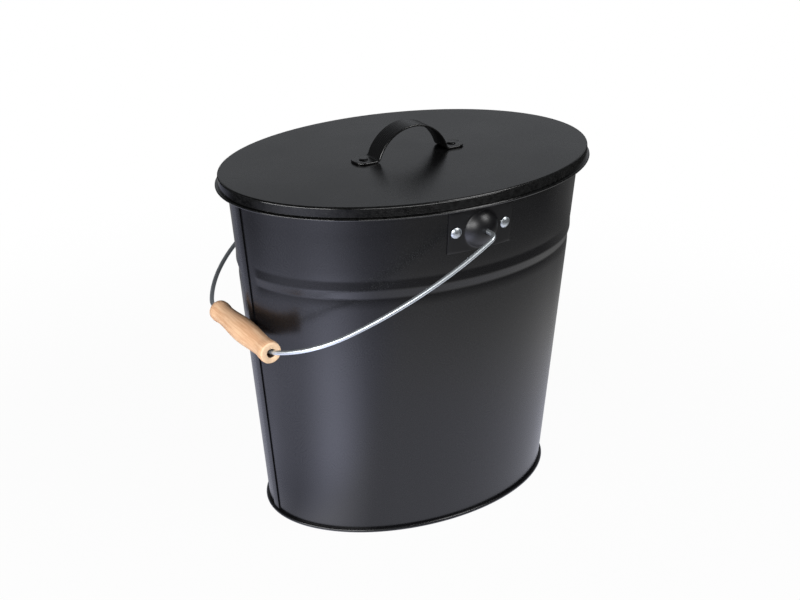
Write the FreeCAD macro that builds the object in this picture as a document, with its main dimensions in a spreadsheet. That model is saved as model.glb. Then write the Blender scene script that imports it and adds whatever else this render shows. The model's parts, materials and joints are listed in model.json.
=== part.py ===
import FreeCAD, Part
import math
import os

import Sketcher
from FreeCAD import Placement, Rotation, Vector

# Oval ash bucket of sheet steel, with a lift-off lid, a swinging wire bail and a turned wooden grip.
# The floor is z = 0, the oval's long axis lies along X, and the bail hangs towards -X at rest.
# The two ears stand on the front (-Y) and the rear (+Y) of the wall. All sizes are millimetres.

SIZES = (
    # Wall
    ("foot_length", 298.6, "outside of the wall at the floor, along X"),
    ("foot_width", 203.1, "outside of the wall at the floor, along Y"),
    ("mouth_length", 356.5, "outside of the wall at the rim, along X"),
    ("mouth_width", 245.8, "outside of the wall at the rim, along Y"),
    ("rim_height", 338.9, "top of the rolled rim above the floor"),
    ("wall_gauge", 0.8, "sheet of the wall"),
    ("rim_curl", 6.4, "rolled rim, across the roll"),
    ("rim_wire_play", 0.2, "gap round the wire inside the rolled rim"),
    ("seam_width", 11.0, "folded side seam, across"),
    ("seam_proud", 1.3, "folded side seam, proud of the wall"),
    # Pressed rib and the grooves above and below it
    ("rib_drop", 81.1, "rim down to the crest of the pressed rib"),
    ("rib_proud", 0.7, "rib's crest, proud of the wall"),
    ("upper_groove_rise", 9.0, "rib's crest up to the groove above it"),
    ("upper_groove_depth", 0.12, "groove above the rib, below the wall"),
    ("upper_groove_run", 9.7, "groove above the rib up to the plain wall"),
    ("lower_groove_fall", 8.0, "rib's crest down to the groove below it"),
    ("lower_groove_depth", 0.7, "groove below the rib, below the wall"),
    ("lower_groove_run", 11.4, "groove below the rib down to the plain wall"),
    ("rib_stop", 9.0, "plain wall between the seam and the ends of the rib"),
    # Base
    ("base_gauge", 0.8, "sheet of the base"),
    ("floor_level", 8.0, "top of the base panel above the floor"),
    ("floor_radius", 2.5, "outside corner of the base panel"),
    ("foot_ring_height", 3.8, "folded foot ring, top to bottom"),
    ("foot_ring_proud", 3.25, "folded foot ring, proud of the wall"),
    ("fold_play", 0.2, "gap between the sheets in the foot ring"),
    # Ears
    ("ear_drop", 33.9, "rim down to the axis of the bail"),
    ("ear_gauge", 1.0, "sheet of an ear"),
    ("dome_width", 35.0, "pressed dome of an ear, across its foot"),
    ("dome_height", 11.0, "pressed dome of an ear, proud of the wall"),
    ("ear_lap", 2.0, "ear plate above and below the dome"),
    ("rivet_gap", 3.05, "dome to the edge of a rivet's head"),
    ("ear_margin", 2.65, "rivet's head to the end of the ear plate"),
    ("rivet_head", 10.3, "ear rivet's head, across"),
    ("rivet_head_height", 2.2, "ear rivet's head, high"),
    ("rivet_shank", 5.0, "ear rivet's shank, across"),
    ("rivet_tail", 8.0, "ear rivet's set tail, across"),
    ("rivet_tail_height", 1.6, "ear rivet's set tail, high"),
    ("rivet_play", 0.1, "gap between a rivet and its hole or sheet"),
    # Bail
    ("bail_wire", 4.2, "wire of the bail, across"),
    ("bail_hole_play", 0.4, "gap between the wire and the ear's hole"),
    ("bail_swing_gap", 5.0, "grip to the lid's lip as the bail swings past"),
    ("bail_rest_gap", 0.3, "bail and grip to what they rest on"),
    ("bail_stand_off", 13.0, "dome to the middle of the bail's arm"),
    ("ear_bend", 7.0, "bend radius at the ear, to the wire's middle"),
    ("grip_bend", 28.0, "bend radius beside the grip, to the wire's middle"),
    ("grip_bend_turn", 28.0, "turn of the bend beside the grip, in degrees"),
    ("bow_bend", 115.0, "bend radius of the bow, to the wire's middle"),
    ("bow_turn", 38.0, "turn of the bow, in degrees"),
    ("bail_head", 8.4, "upset head on the wire's end, across"),
    ("bail_head_thickness", 2.5, "upset head on the wire's end, thick"),
    ("bail_head_play", 0.6, "upset head to the inside of the dome"),
    # Wooden grip
    ("grip_length", 108.0, "grip, end to end"),
    ("grip_middle", 22.8, "grip's swelling in the middle, across"),
    ("grip_neck", 18.8, "grip's necks, across"),
    ("grip_end", 20.6, "grip's ends, across"),
    ("grip_neck_inset", 15.0, "grip's end to its neck"),
    ("grip_end_inset", 4.0, "grip's end to its thickest part there"),
    ("grip_neck_round", 40.0, "radius of the grip's hollow necks"),
    ("grip_edge", 1.4, "rounded edge of the grip's ends"),
    ("grip_bore", 7.6, "hole through the grip, across"),
    # Lid
    ("lid_gauge", 0.8, "sheet of the lid"),
    ("lid_play", 1.25, "rolled rim to the inside of the lid's skirt"),
    ("lid_seat", 0.3, "rolled rim to the underside of the lid"),
    ("lid_skirt", 12.0, "lid, top to the bottom of its lip"),
    ("lid_edge", 1.6, "rounded edge of the lid's top"),
    ("lip_height", 2.6, "rolled lip of the skirt, high"),
    ("lip_proud", 2.5, "rolled lip of the skirt, proud of it"),
    # Lid handle
    ("handle_width", 22.0, "strip of the lid's handle, wide"),
    ("handle_gauge", 2.0, "strip of the lid's handle, thick"),
    ("handle_rise", 30.0, "top of the handle above the lid"),
    ("handle_arch", 39.5, "outside radius of the handle's arch"),
    ("handle_bend", 4.0, "bend radius above a foot, to the strip's middle"),
    ("handle_foot", 18.4, "flat length of a foot"),
    ("handle_corner", 8.0, "rounded corners of a foot"),
    ("handle_edge", 0.5, "eased edges of the strip"),
    ("lid_rivet_inset", 8.2, "bend to the rivet in a foot"),
    ("lid_rivet_head", 8.4, "lid rivet's head, across"),
    ("lid_rivet_head_height", 1.2, "lid rivet's head, high"),
    ("lid_rivet_shank", 4.0, "lid rivet's shank, across"),
    ("lid_rivet_tail", 6.5, "lid rivet's set tail, across"),
    ("lid_rivet_tail_height", 1.2, "lid rivet's set tail, high"),
)

# Straight steps that stand for a quarter turn of a small roll, and for a groove's fading side
ROLL_STEPS = 5
GROOVE_STEPS = 4
# Where the rolled rim stops, short of the wall, and how far a cutting tool reaches past its work
RIM_ROLL_END = -130.0
REACH = 10.0

doc = FreeCAD.newDocument("AshBucket")
sheet = doc.addObject("Spreadsheet::Sheet", "Sizes")


class Size:
    """A size: its number in millimetres, and the formula over the sheet that gives it."""

    def __init__(self, number, formula):
        self.number = number
        self.formula = formula

    def with_other(self, other, sign, number):
        return Size(number, "(%s %s %s)" % (self.formula, sign, other.formula))

    def __add__(self, other):
        other = as_size(other)
        return self.with_other(other, "+", self.number + other.number)

    def __sub__(self, other):
        other = as_size(other)
        return self.with_other(other, "-", self.number - other.number)

    def __mul__(self, other):
        other = as_size(other)
        return self.with_other(other, "*", self.number * other.number)

    def __truediv__(self, other):
        other = as_size(other)
        return self.with_other(other, "/", self.number / other.number)

    def __neg__(self):
        return as_size(0) - self


def as_size(value):
    if isinstance(value, Size):
        return value
    return Size(float(value), "%.9f" % value)


def root(size):
    return Size(math.sqrt(size.number), "sqrt(%s)" % size.formula)


class SizeSheet:
    """The sizes by name, each tied to its cell."""

    def __init__(self):
        for row, (name, number, meaning) in enumerate(SIZES, start=1):
            cell = "B%d" % row
            sheet.set("A%d" % row, meaning)
            sheet.set(cell, str(number))
            sheet.setAlias(cell, name)
            setattr(self, name, Size(number, "Sizes." + name))
        doc.recompute()


S = SizeSheet()


# Sizes that follow from the ones in the sheet

EAR_LEVEL = S.rim_height - S.ear_drop
RIB_LEVEL = S.rim_height - S.rib_drop
UPPER_GROOVE_LEVEL = RIB_LEVEL + S.upper_groove_rise
LOWER_GROOVE_LEVEL = RIB_LEVEL - S.lower_groove_fall
RIBBED_TOP = UPPER_GROOVE_LEVEL + S.upper_groove_run
RIBBED_FOOT = LOWER_GROOVE_LEVEL - S.lower_groove_run
LID_TOP = S.rim_height + S.lid_seat + S.lid_gauge
RIM_MIDDLE = S.rim_height - S.rim_curl / 2
RIM_OUT = S.rim_curl / 2 - S.wall_gauge


def wall_half(foot, mouth, up):
    """Half of the wall's outside at a height above the floor."""
    return (foot + (mouth - foot) * up / S.rim_height) / 2


def wall_half_length(up):
    return wall_half(S.foot_length, S.mouth_length, up)


def wall_half_width(up):
    return wall_half(S.foot_width, S.mouth_width, up)


LID_OUT = S.rim_curl - S.wall_gauge + S.lid_play + S.lid_gauge
LID_HALF_LENGTH = wall_half_length(RIM_MIDDLE) + LID_OUT
LID_HALF_WIDTH = wall_half_width(RIM_MIDDLE) + LID_OUT
LIP_LEVEL = LID_TOP - S.lid_skirt + S.lip_height / 2

EAR_FACE = wall_half_width(EAR_LEVEL)
DOME_RADIUS = (S.dome_width * S.dome_width / 4 + S.dome_height * S.dome_height) / (S.dome_height * 2)
DOME_MIDDLE = EAR_FACE + S.dome_height - DOME_RADIUS
RIVET_OUT = S.dome_width / 2 + S.rivet_gap + S.rivet_head / 2
EAR_WIDTH = (RIVET_OUT + S.rivet_head / 2 + S.ear_margin) * 2
EAR_HEIGHT = S.dome_width + S.ear_lap * 2

LIP_PAST_GRIP = LID_HALF_LENGTH + S.lip_proud + S.grip_middle / 2 + S.bail_swing_gap
LIP_OVER_EAR = LIP_LEVEL - EAR_LEVEL
BAIL_REACH = root(LIP_PAST_GRIP * LIP_PAST_GRIP + LIP_OVER_EAR * LIP_OVER_EAR)


# Oval rings, lofts and solids of plain form

def ring(name, half_length, half_width, up):
    oval = doc.addObject("Part::Ellipse", name)
    oval.setExpression("MajorRadius", half_length.formula)
    oval.setExpression("MinorRadius", half_width.formula)
    oval.setExpression("Placement.Base.z", as_size(up).formula)
    return oval


def wall_ring(name, out, up):
    """Ring that lies outside the wall by out, at the height up."""
    up = as_size(up)
    return ring(name, wall_half_length(up) + out, wall_half_width(up) + out, up)


def lid_ring(name, out, up):
    return ring(name, LID_HALF_LENGTH + out, LID_HALF_WIDTH + out, up)


def loft(name, make_ring, outline, closed=False):
    """Solid whose section is the outline, given as places (out, up) and carried round the oval."""
    body = doc.addObject("Part::Loft", name)
    body.Sections = [
        make_ring("%s_ring_%d" % (name, number), out, up)
        for number, (out, up) in enumerate(outline)
    ]
    body.Solid = True
    body.Ruled = True
    body.Closed = closed
    return body


def roll(out, up, radius, start, end):
    """Places along a rolled edge about (out, up), from one angle to another in degrees."""
    steps = max(1, round(abs(end - start) / 90.0 * ROLL_STEPS))
    places = []
    for step in range(steps + 1):
        angle = math.radians(start + (end - start) * step / steps)
        places.append((radius * math.cos(angle) + out, radius * math.sin(angle) + up))
    return places


def block(name, low, high):
    """Box between two corners, each given as three sizes."""
    body = doc.addObject("Part::Box", name)
    for side, letter, start, end in zip(("Length", "Width", "Height"), "xyz", low, high):
        body.setExpression(side, (end - start).formula)
        body.setExpression("Placement.Base." + letter, start.formula)
    return body


def rod(name, radius, length, placement):
    body = doc.addObject("Part::Cylinder", name)
    body.setExpression("Radius", radius.formula)
    body.setExpression("Height", as_size(length).formula)
    body.Placement = placement
    return body


def ball(name, radius, y, z):
    body = doc.addObject("Part::Sphere", name)
    body.setExpression("Radius", radius.formula)
    body.setExpression("Placement.Base.y", y.formula)
    body.setExpression("Placement.Base.z", z.formula)
    return body


def cut(name, base, tool):
    body = doc.addObject("Part::Cut", name)
    body.Base = base
    body.Tool = tool
    body.Refine = False
    return body


def common(name, base, tool):
    body = doc.addObject("Part::Common", name)
    body.Base = base
    body.Tool = tool
    body.Refine = False
    return body


def fused(name, *shapes):
    body = doc.addObject("Part::MultiFuse", name)
    body.Shapes = list(shapes)
    body.Refine = False
    return body


# Bodies and sketches

def new_body(label):
    body = doc.addObject("PartDesign::Body", label + "_body")
    body.Label = label
    return body


def origin_plane(body, role):
    return [part for part in body.Origin.OriginFeatures if part.Role == role][0]


def new_sketch(body, name, role):
    sketch = body.newObject("Sketcher::SketchObject", name)
    sketch.AttachmentSupport = [(origin_plane(body, role), "")]
    sketch.MapMode = "FlatFace"
    return sketch


def bind(sketch, kind, *where_and_size):
    """Add a dimension to a sketch and tie it to its size."""
    where, size = where_and_size[:-1], where_and_size[-1]
    number = size.number
    formula = size.formula
    if kind == "Angle":
        number = math.radians(number)
        formula = "%s * 1 deg" % formula
    index = sketch.addConstraint(Sketcher.Constraint(kind, *where, number))
    sketch.setExpression("Constraints[%d]" % index, formula)


def hold(sketch, edge, point, x=None, y=None):
    """Hold a point of a sketch at the distances x and y from its origin; 0 puts it on an axis."""
    for kind, axis, size in (("DistanceX", -2, x), ("DistanceY", -1, y)):
        if size is None:
            continue
        if as_size(size).number == 0:
            sketch.addConstraint(Sketcher.Constraint("PointOnObject", edge, point, axis))
        else:
            bind(sketch, kind, -1, 1, edge, point, size)


# The points of a sketch edge, in the order that sketches number them
EDGE_POINTS = ("edge", "start", "end", "middle")
START = EDGE_POINTS.index("start")
END = EDGE_POINTS.index("end")
MIDDLE = EDGE_POINTS.index("middle")


def follow_on(sketch, kind, edge, next_edge):
    """Join the end of one edge to the start of the next."""
    sketch.addConstraint(Sketcher.Constraint(kind, edge, END, next_edge, START))


def arc(middle, radius, start, end):
    """Arc that turns anticlockwise from one angle to another, in radians."""
    return Part.ArcOfCircle(Part.Circle(middle, Vector(0, 0, 1), radius), start, end)


def angle_from(middle, point):
    return math.atan2(point.y - middle.y, point.x - middle.x)


def turned(body, name, sketch, axis):
    feature = body.newObject("PartDesign::Revolution", name)
    feature.Profile = sketch
    feature.ReferenceAxis = (sketch, [axis])
    feature.Angle = 360.0
    sketch.Visibility = False
    return feature


def swept(body, name, profile, path):
    feature = body.newObject("PartDesign::AdditivePipe", name)
    feature.Profile = profile
    feature.Spine = path
    return feature


def mirrored(body, name, features, role):
    doc.recompute()
    feature = body.newObject("PartDesign::Mirrored", name)
    feature.Originals = features
    feature.MirrorPlane = (origin_plane(body, role), [""])
    body.Tip = feature
    doc.recompute()
    return feature


def rounded(body, name, radius, wanted):
    """Round the edges of the body so far that a test picks out."""
    doc.recompute()
    base = body.Tip
    names = [
        "Edge%d" % number
        for number, edge in enumerate(base.Shape.Edges, start=1)
        if wanted(edge)
    ]
    feature = body.newObject("PartDesign::Fillet", name)
    feature.Base = (base, names)
    feature.setExpression("Radius", radius.formula)
    body.Tip = feature
    doc.recompute()
    return feature


# Rivets

def rivet_seat(side, end):
    """Where an ear rivet's head sits on the ear plate, and the way it points: out of the wall."""
    x = end * RIVET_OUT.number
    a = wall_half_length(EAR_LEVEL).number
    b = EAR_FACE.number
    y = side * b * math.sqrt(1 - (x / a) ** 2)
    rise = S.rim_height.number
    a_slope = (S.mouth_length.number - S.foot_length.number) / 2 / rise
    b_slope = (S.mouth_width.number - S.foot_width.number) / 2 / rise
    out = Vector(x / a ** 2, y / b ** 2, -(x * x * a_slope / a ** 3 + y * y * b_slope / b ** 3))
    out.normalize()
    return Vector(x, y, EAR_LEVEL.number), out


def along(place, out, depth):
    """Placement with +Z along out, starting at a depth behind a place."""
    return Placement(place - out * depth, Rotation(Vector(0, 0, 1), out))


def rivet(label, head, head_height, shank, tail, tail_height, hold_length, place, out):
    """Rivet with a domed head on a place and a flat set tail behind the sheets that it holds."""
    body = new_body(label)
    sketch = new_sketch(body, label + "_profile", "XZ_Plane")
    neck = tail_height + hold_length
    corners = (
        (as_size(0), as_size(0)),
        (tail / 2, as_size(0)),
        (tail / 2, tail_height),
        (shank / 2, tail_height),
        (shank / 2, neck),
        (head / 2, neck),
        (as_size(0), neck + head_height),
    )
    points = [Vector(x.number, y.number, 0) for x, y in corners]
    last = len(points) - 1
    for number in range(last - 1):
        sketch.addGeometry(Part.LineSegment(points[number], points[number + 1]), False)
    rim, top = points[last - 1], points[last]
    dome = (rim.x ** 2 + (top.y - rim.y) ** 2) / (2 * (top.y - rim.y))
    middle = Vector(0, top.y - dome, 0)
    sketch.addGeometry(arc(middle, dome, angle_from(middle, rim), math.pi / 2), False)
    sketch.addGeometry(Part.LineSegment(top, points[0]), False)
    for number in range(last + 1):
        follow_on(sketch, "Coincident", number, (number + 1) % (last + 1))
    for number, (x, y) in enumerate(corners):
        hold(sketch, number, START, x, y)
    hold(sketch, last - 1, MIDDLE, x=0)
    turned(body, label + "_turned", sketch, "V_Axis")
    body.Placement = along(place, out, neck.number)
    return body


EAR_RIVETS = [
    ("%s_ear_rivet_%s" % (side_name, end_name), rivet_seat(side, end))
    for side_name, side in (("front", -1), ("rear", 1))
    for end_name, end in (("left", -1), ("right", 1))
]


def ear_rivets():
    held = S.wall_gauge + S.ear_gauge + S.rivet_play * 2
    front = (S.ear_gauge + S.rivet_play).number
    return [
        rivet(label, S.rivet_head, S.rivet_head_height, S.rivet_shank, S.rivet_tail,
              S.rivet_tail_height, held, place + out * front, out)
        for label, (place, out) in EAR_RIVETS
    ]


def rivet_holes(name, chosen):
    radius = S.rivet_shank / 2 + S.rivet_play
    return [
        rod("%s_%s" % (name, label), radius, REACH * 2, along(place, out, REACH))
        for label, (place, out) in EAR_RIVETS
        if label.startswith(chosen)
    ]


# Bucket wall

def rib_places(depth):
    """Places up the pressed rib and its grooves, on the sheet's face that lies depth below the outside."""
    places = []
    for step in range(GROOVE_STEPS + 1):
        part = step / GROOVE_STEPS
        out = -(S.lower_groove_depth * part ** 2)
        places.append((out - depth, RIBBED_FOOT + S.lower_groove_run * part))
    places.append((S.rib_proud - depth, RIB_LEVEL))
    for step in range(GROOVE_STEPS + 1):
        part = step / GROOVE_STEPS
        out = -(S.upper_groove_depth * (1 - part) ** 2)
        places.append((out - depth, UPPER_GROOVE_LEVEL + S.upper_groove_run * part))
    return places


def wall_outline():
    """The sheet from its foot flange up the outside, round the rolled rim and down the inside."""
    flange_low = S.foot_ring_height / 2 - S.wall_gauge / 2
    flange_high = flange_low + S.wall_gauge
    flange_out = S.foot_ring_proud - S.base_gauge - S.fold_play
    outline = [(flange_out, flange_low), (flange_out, flange_high), (as_size(0), flange_high)]
    outline += rib_places(0)
    outline += roll(RIM_OUT, RIM_MIDDLE, S.rim_curl / 2 - S.wall_gauge, 180.0, RIM_ROLL_END)
    outline += roll(RIM_OUT, RIM_MIDDLE, S.rim_curl / 2, RIM_ROLL_END, 180.0)
    outline += reversed(rib_places(S.wall_gauge))
    outline.append((-S.wall_gauge, flange_low))
    return outline


def bucket_wall():
    ribbed = loft("ribbed_wall", wall_ring, wall_outline(), closed=True)

    # Beside the seam the rib stops and the sheet is plain
    band_low = RIBBED_FOOT - 1
    band_high = RIBBED_TOP + 1
    patch_side = S.seam_width / 2 + S.rib_stop
    tip = wall_half_length(band_high)
    patch_box = block("patch_box", (-tip - REACH, -patch_side, band_low), (-tip + REACH, patch_side, band_high))
    face = loft("patch_face", wall_ring, [(as_size(0), band_low), (as_size(0), band_high)])
    back = loft("patch_back", wall_ring, [(-S.wall_gauge, band_low), (-S.wall_gauge, band_high)])
    patch = common("seam_patch", cut("patch_sheet", face, back), patch_box)

    # The folded seam stands on the sheet from the foot ring up to the rolled rim
    seam_low = S.foot_ring_height + S.fold_play
    seam_high = S.rim_height - S.rim_curl - S.fold_play
    half_sheet = -(S.wall_gauge / 2)
    face = loft("seam_face", wall_ring, [(S.seam_proud, seam_low), (S.seam_proud, seam_high)])
    back = loft("seam_back", wall_ring, [(half_sheet, seam_low), (half_sheet, seam_high)])
    tip = wall_half_length(seam_high) + S.seam_proud
    side = S.seam_width / 2
    seam_box = block("seam_box", (-tip - REACH, -side, seam_low), (-wall_half_length(seam_low) / 2, side, seam_high))
    seam = common("seam", cut("seam_sheet", face, back), seam_box)

    sheet_with_seam = fused("sheet_with_seam", cut("rib_short_of_seam", ribbed, patch_box), patch, seam)
    holes = fused("wall_rivet_holes", *rivet_holes("wall_hole", ("front", "rear")))
    return cut("bucket_wall", sheet_with_seam, holes)


def rim_wire():
    """Wire that the rolled rim is closed round."""
    path = wall_ring("rim_wire_path", RIM_OUT, RIM_MIDDLE)
    section = doc.addObject("Part::Circle", "rim_wire_section")
    section.setExpression("Radius", (S.rim_curl / 2 - S.wall_gauge - S.rim_wire_play).formula)
    section.setExpression("Placement.Base.x", (wall_half_length(RIM_MIDDLE) + RIM_OUT).formula)
    section.setExpression("Placement.Base.z", RIM_MIDDLE.formula)
    section.Placement.Rotation = Rotation(Vector(1, 0, 0), 90)
    wire = doc.addObject("Part::Sweep", "rim_wire")
    wire.Sections = [section]
    wire.Spine = (path, ["Edge1"])
    wire.Solid = True
    wire.Frenet = True
    return wire


# Base

def bucket_base():
    """Panel with a turned-down edge, folded under and over the wall's foot flange."""
    out = -(S.wall_gauge + S.fold_play)
    corner_out = out - S.floor_radius
    corner_up = S.floor_level - S.floor_radius
    fold_up = S.foot_ring_height / 2
    fold_out = S.foot_ring_proud - fold_up
    lap = S.fold_play
    outline = roll(fold_out, fold_up, fold_up, -90.0, 90.0)
    outline += [(lap, S.foot_ring_height), (lap, S.foot_ring_height - S.base_gauge)]
    outline += roll(fold_out, fold_up, fold_up - S.base_gauge, 90.0, -90.0)
    outline.append((out, S.base_gauge))
    outline += roll(corner_out, corner_up, S.floor_radius, 0.0, 90.0)
    under = [(out - S.base_gauge, as_size(-REACH))]
    under += roll(corner_out, corner_up, S.floor_radius - S.base_gauge, 0.0, 90.0)
    blank = loft("base_blank", wall_ring, outline)
    return cut("bucket_base", blank, loft("base_hollow", wall_ring, under))


# Ears

def front_ear():
    """Plate that lies on the wall, with a hollow dome that the bail's end turns in."""
    low = EAR_LEVEL - EAR_HEIGHT / 2
    high = EAR_LEVEL + EAR_HEIGHT / 2
    span = ((as_size(0), low - REACH / 2), (as_size(0), high + REACH / 2))
    wall = loft("ear_wall", wall_ring, span)
    skin = loft("ear_skin", wall_ring, [(out + S.ear_gauge, up) for out, up in span])
    front = -EAR_FACE - S.dome_height
    window = block("ear_window", (-EAR_WIDTH / 2, front, low), (EAR_WIDTH / 2, -EAR_FACE / 2, high))
    plate = common("ear_plate", skin, window)
    dome = ball("ear_dome", DOME_RADIUS, -DOME_MIDDLE, EAR_LEVEL)
    hollow = ball("ear_hollow", DOME_RADIUS - S.ear_gauge, -DOME_MIDDLE, EAR_LEVEL)
    axis = along(Vector(0, -DOME_MIDDLE.number, EAR_LEVEL.number), Vector(0, -1, 0), 0)
    hole = rod("bail_hole", S.bail_wire / 2 + S.bail_hole_play, DOME_RADIUS + REACH, axis)
    blank = cut("ear_blank", fused("ear_pressing", plate, dome), wall)
    hollows = fused("ear_hollows", hollow, hole, *rivet_holes("ear_hole", "front"))
    return cut("front_ear", blank, hollows)


def rear_ear(front):
    ear = doc.addObject("Part::Mirroring", "rear_ear")
    ear.Source = front
    ear.Base = Vector(0, 0, 0)
    ear.Normal = Vector(0, 1, 0)
    return ear


# Bail and grip

def bail_rest_angle():
    """Angle below the level at which the grip meets the side seam, in degrees."""
    slope = (S.mouth_length.number - S.foot_length.number) / 2 / S.rim_height.number
    lean = math.hypot(1, slope)
    seam_at_ear = wall_half_length(EAR_LEVEL).number + S.seam_proud.number
    stand = seam_at_ear + (S.grip_middle.number / 2 + S.bail_rest_gap.number) * lean
    return math.degrees(math.atan(slope) + math.acos(stand / (BAIL_REACH.number * lean)))


def bail_path(body):
    """Half of the bail's middle line: x runs out along the grip and y from the ears to the grip."""
    sketch = new_sketch(body, "bail_path", "XY_Plane")
    reach = BAIL_REACH.number
    run = S.grip_length.number / 2
    arm_out = EAR_FACE + S.dome_height + S.bail_stand_off
    head_end = bail_head_face() - S.bail_head_thickness
    first = math.radians(S.grip_bend_turn.number)
    second = first + math.radians(S.bow_turn.number)

    # Bend beside the grip, then the bow, each tangent to what comes before
    grip_middle = Vector(run, reach - S.grip_bend.number, 0)
    bend_end = grip_middle + Vector(math.sin(first), math.cos(first), 0) * S.grip_bend.number
    bow_middle = bend_end - Vector(math.sin(first), math.cos(first), 0) * S.bow_bend.number
    bow_way = Vector(math.sin(second), math.cos(second), 0)
    bow_end = bow_middle + bow_way * S.bow_bend.number

    # The arm is one flat arc, tangent to the bow and to the bend at the ear
    ear_bend = S.ear_bend.number
    ear_middle = Vector(arm_out.number - ear_bend, ear_bend, 0)
    gap = bow_end - ear_middle
    arm_radius = (gap.dot(gap) - ear_bend ** 2) / (2 * (gap.dot(bow_way) - ear_bend))
    arm_middle = bow_end - bow_way * arm_radius
    arm_way = (ear_middle - arm_middle).normalize()
    arm_end = ear_middle + arm_way * ear_bend

    quarter = math.pi / 2
    sketch.addGeometry(Part.LineSegment(Vector(0, reach, 0), Vector(run, reach, 0)), False)
    sketch.addGeometry(arc(grip_middle, S.grip_bend.number, quarter - first, quarter), False)
    sketch.addGeometry(arc(bow_middle, S.bow_bend.number, quarter - second, quarter - first), False)
    arm_start = angle_from(arm_middle, arm_end)
    sketch.addGeometry(arc(arm_middle, arm_radius, arm_start, quarter - second), False)
    sketch.addGeometry(arc(ear_middle, ear_bend, -quarter, arm_start), False)
    sketch.addGeometry(Part.LineSegment(Vector(ear_middle.x, 0, 0), Vector(head_end.number, 0, 0)), False)

    # Every arc runs anticlockwise, so its end lies towards the grip and its start towards the ear
    joints = ((0, END, 1, END), (1, START, 2, END), (2, START, 3, END), (3, START, 4, END), (4, START, 5, START))
    for edge, point, next_edge, next_point in joints:
        sketch.addConstraint(Sketcher.Constraint("Tangent", edge, point, next_edge, next_point))
    sketch.addConstraint(Sketcher.Constraint("Horizontal", 0))
    hold(sketch, 0, START, x=0, y=BAIL_REACH)
    hold(sketch, 0, END, x=S.grip_length / 2)
    bind(sketch, "Radius", 1, S.grip_bend)
    bind(sketch, "Angle", 1, S.grip_bend_turn)
    bind(sketch, "Radius", 2, S.bow_bend)
    bind(sketch, "Angle", 2, S.bow_turn)
    bind(sketch, "Radius", 4, S.ear_bend)
    hold(sketch, 4, MIDDLE, x=arm_out - S.ear_bend)
    sketch.addConstraint(Sketcher.Constraint("Horizontal", 5))
    hold(sketch, 5, END, x=head_end, y=0)
    return sketch


def bail_head_face():
    """Outer face of the wire's upset head, a little inside the ear's dome."""
    inside = DOME_RADIUS - S.ear_gauge
    half_head = S.bail_head / 2
    return DOME_MIDDLE + root(inside * inside - half_head * half_head) - S.bail_head_play


def bail_wire():
    """One bent wire, with a head upset on each end inside the ears."""
    body = new_body("bail_wire")
    path = bail_path(body)
    section = new_sketch(body, "bail_section", "YZ_Plane")
    section.addGeometry(Part.Circle(Vector(BAIL_REACH.number, 0, 0), Vector(0, 0, 1), S.bail_wire.number / 2), False)
    bind(section, "Diameter", 0, S.bail_wire)
    hold(section, 0, MIDDLE, BAIL_REACH, 0)
    doc.recompute()
    wire = swept(body, "bail_half", section, path)

    head = new_sketch(body, "bail_head_profile", "XY_Plane")
    face = bail_head_face()
    back = face - S.bail_head_thickness
    corners = ((back, as_size(0)), (face, as_size(0)), (face, S.bail_head / 2), (back, S.bail_head / 2))
    points = [Vector(x.number, y.number, 0) for x, y in corners]
    for number, point in enumerate(points):
        head.addGeometry(Part.LineSegment(point, points[(number + 1) % 4]), False)
    for number in range(4):
        follow_on(head, "Coincident", number, (number + 1) % 4)
    for number, (x, y) in enumerate(corners):
        hold(head, number, START, x, y)
    doc.recompute()
    upset = turned(body, "bail_head", head, "H_Axis")
    mirrored(body, "bail_both_halves", [wire, upset], "YZ_Plane")

    angle = math.radians(bail_rest_angle())
    reach = Vector(-math.cos(angle), 0, -math.sin(angle))
    across = Vector(0, 1, 0)
    body.Placement = Placement(Vector(0, 0, EAR_LEVEL.number), Rotation(across, reach, across.cross(reach), "XYZ"))
    return body


def grip_slip():
    """How far the grip slides along the wire before its bore meets the bend beside it."""
    room = (S.grip_bore.number - S.bail_wire.number) / 2 - S.bail_rest_gap.number
    return math.sqrt(2 * S.grip_bend.number * room - room ** 2)


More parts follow.
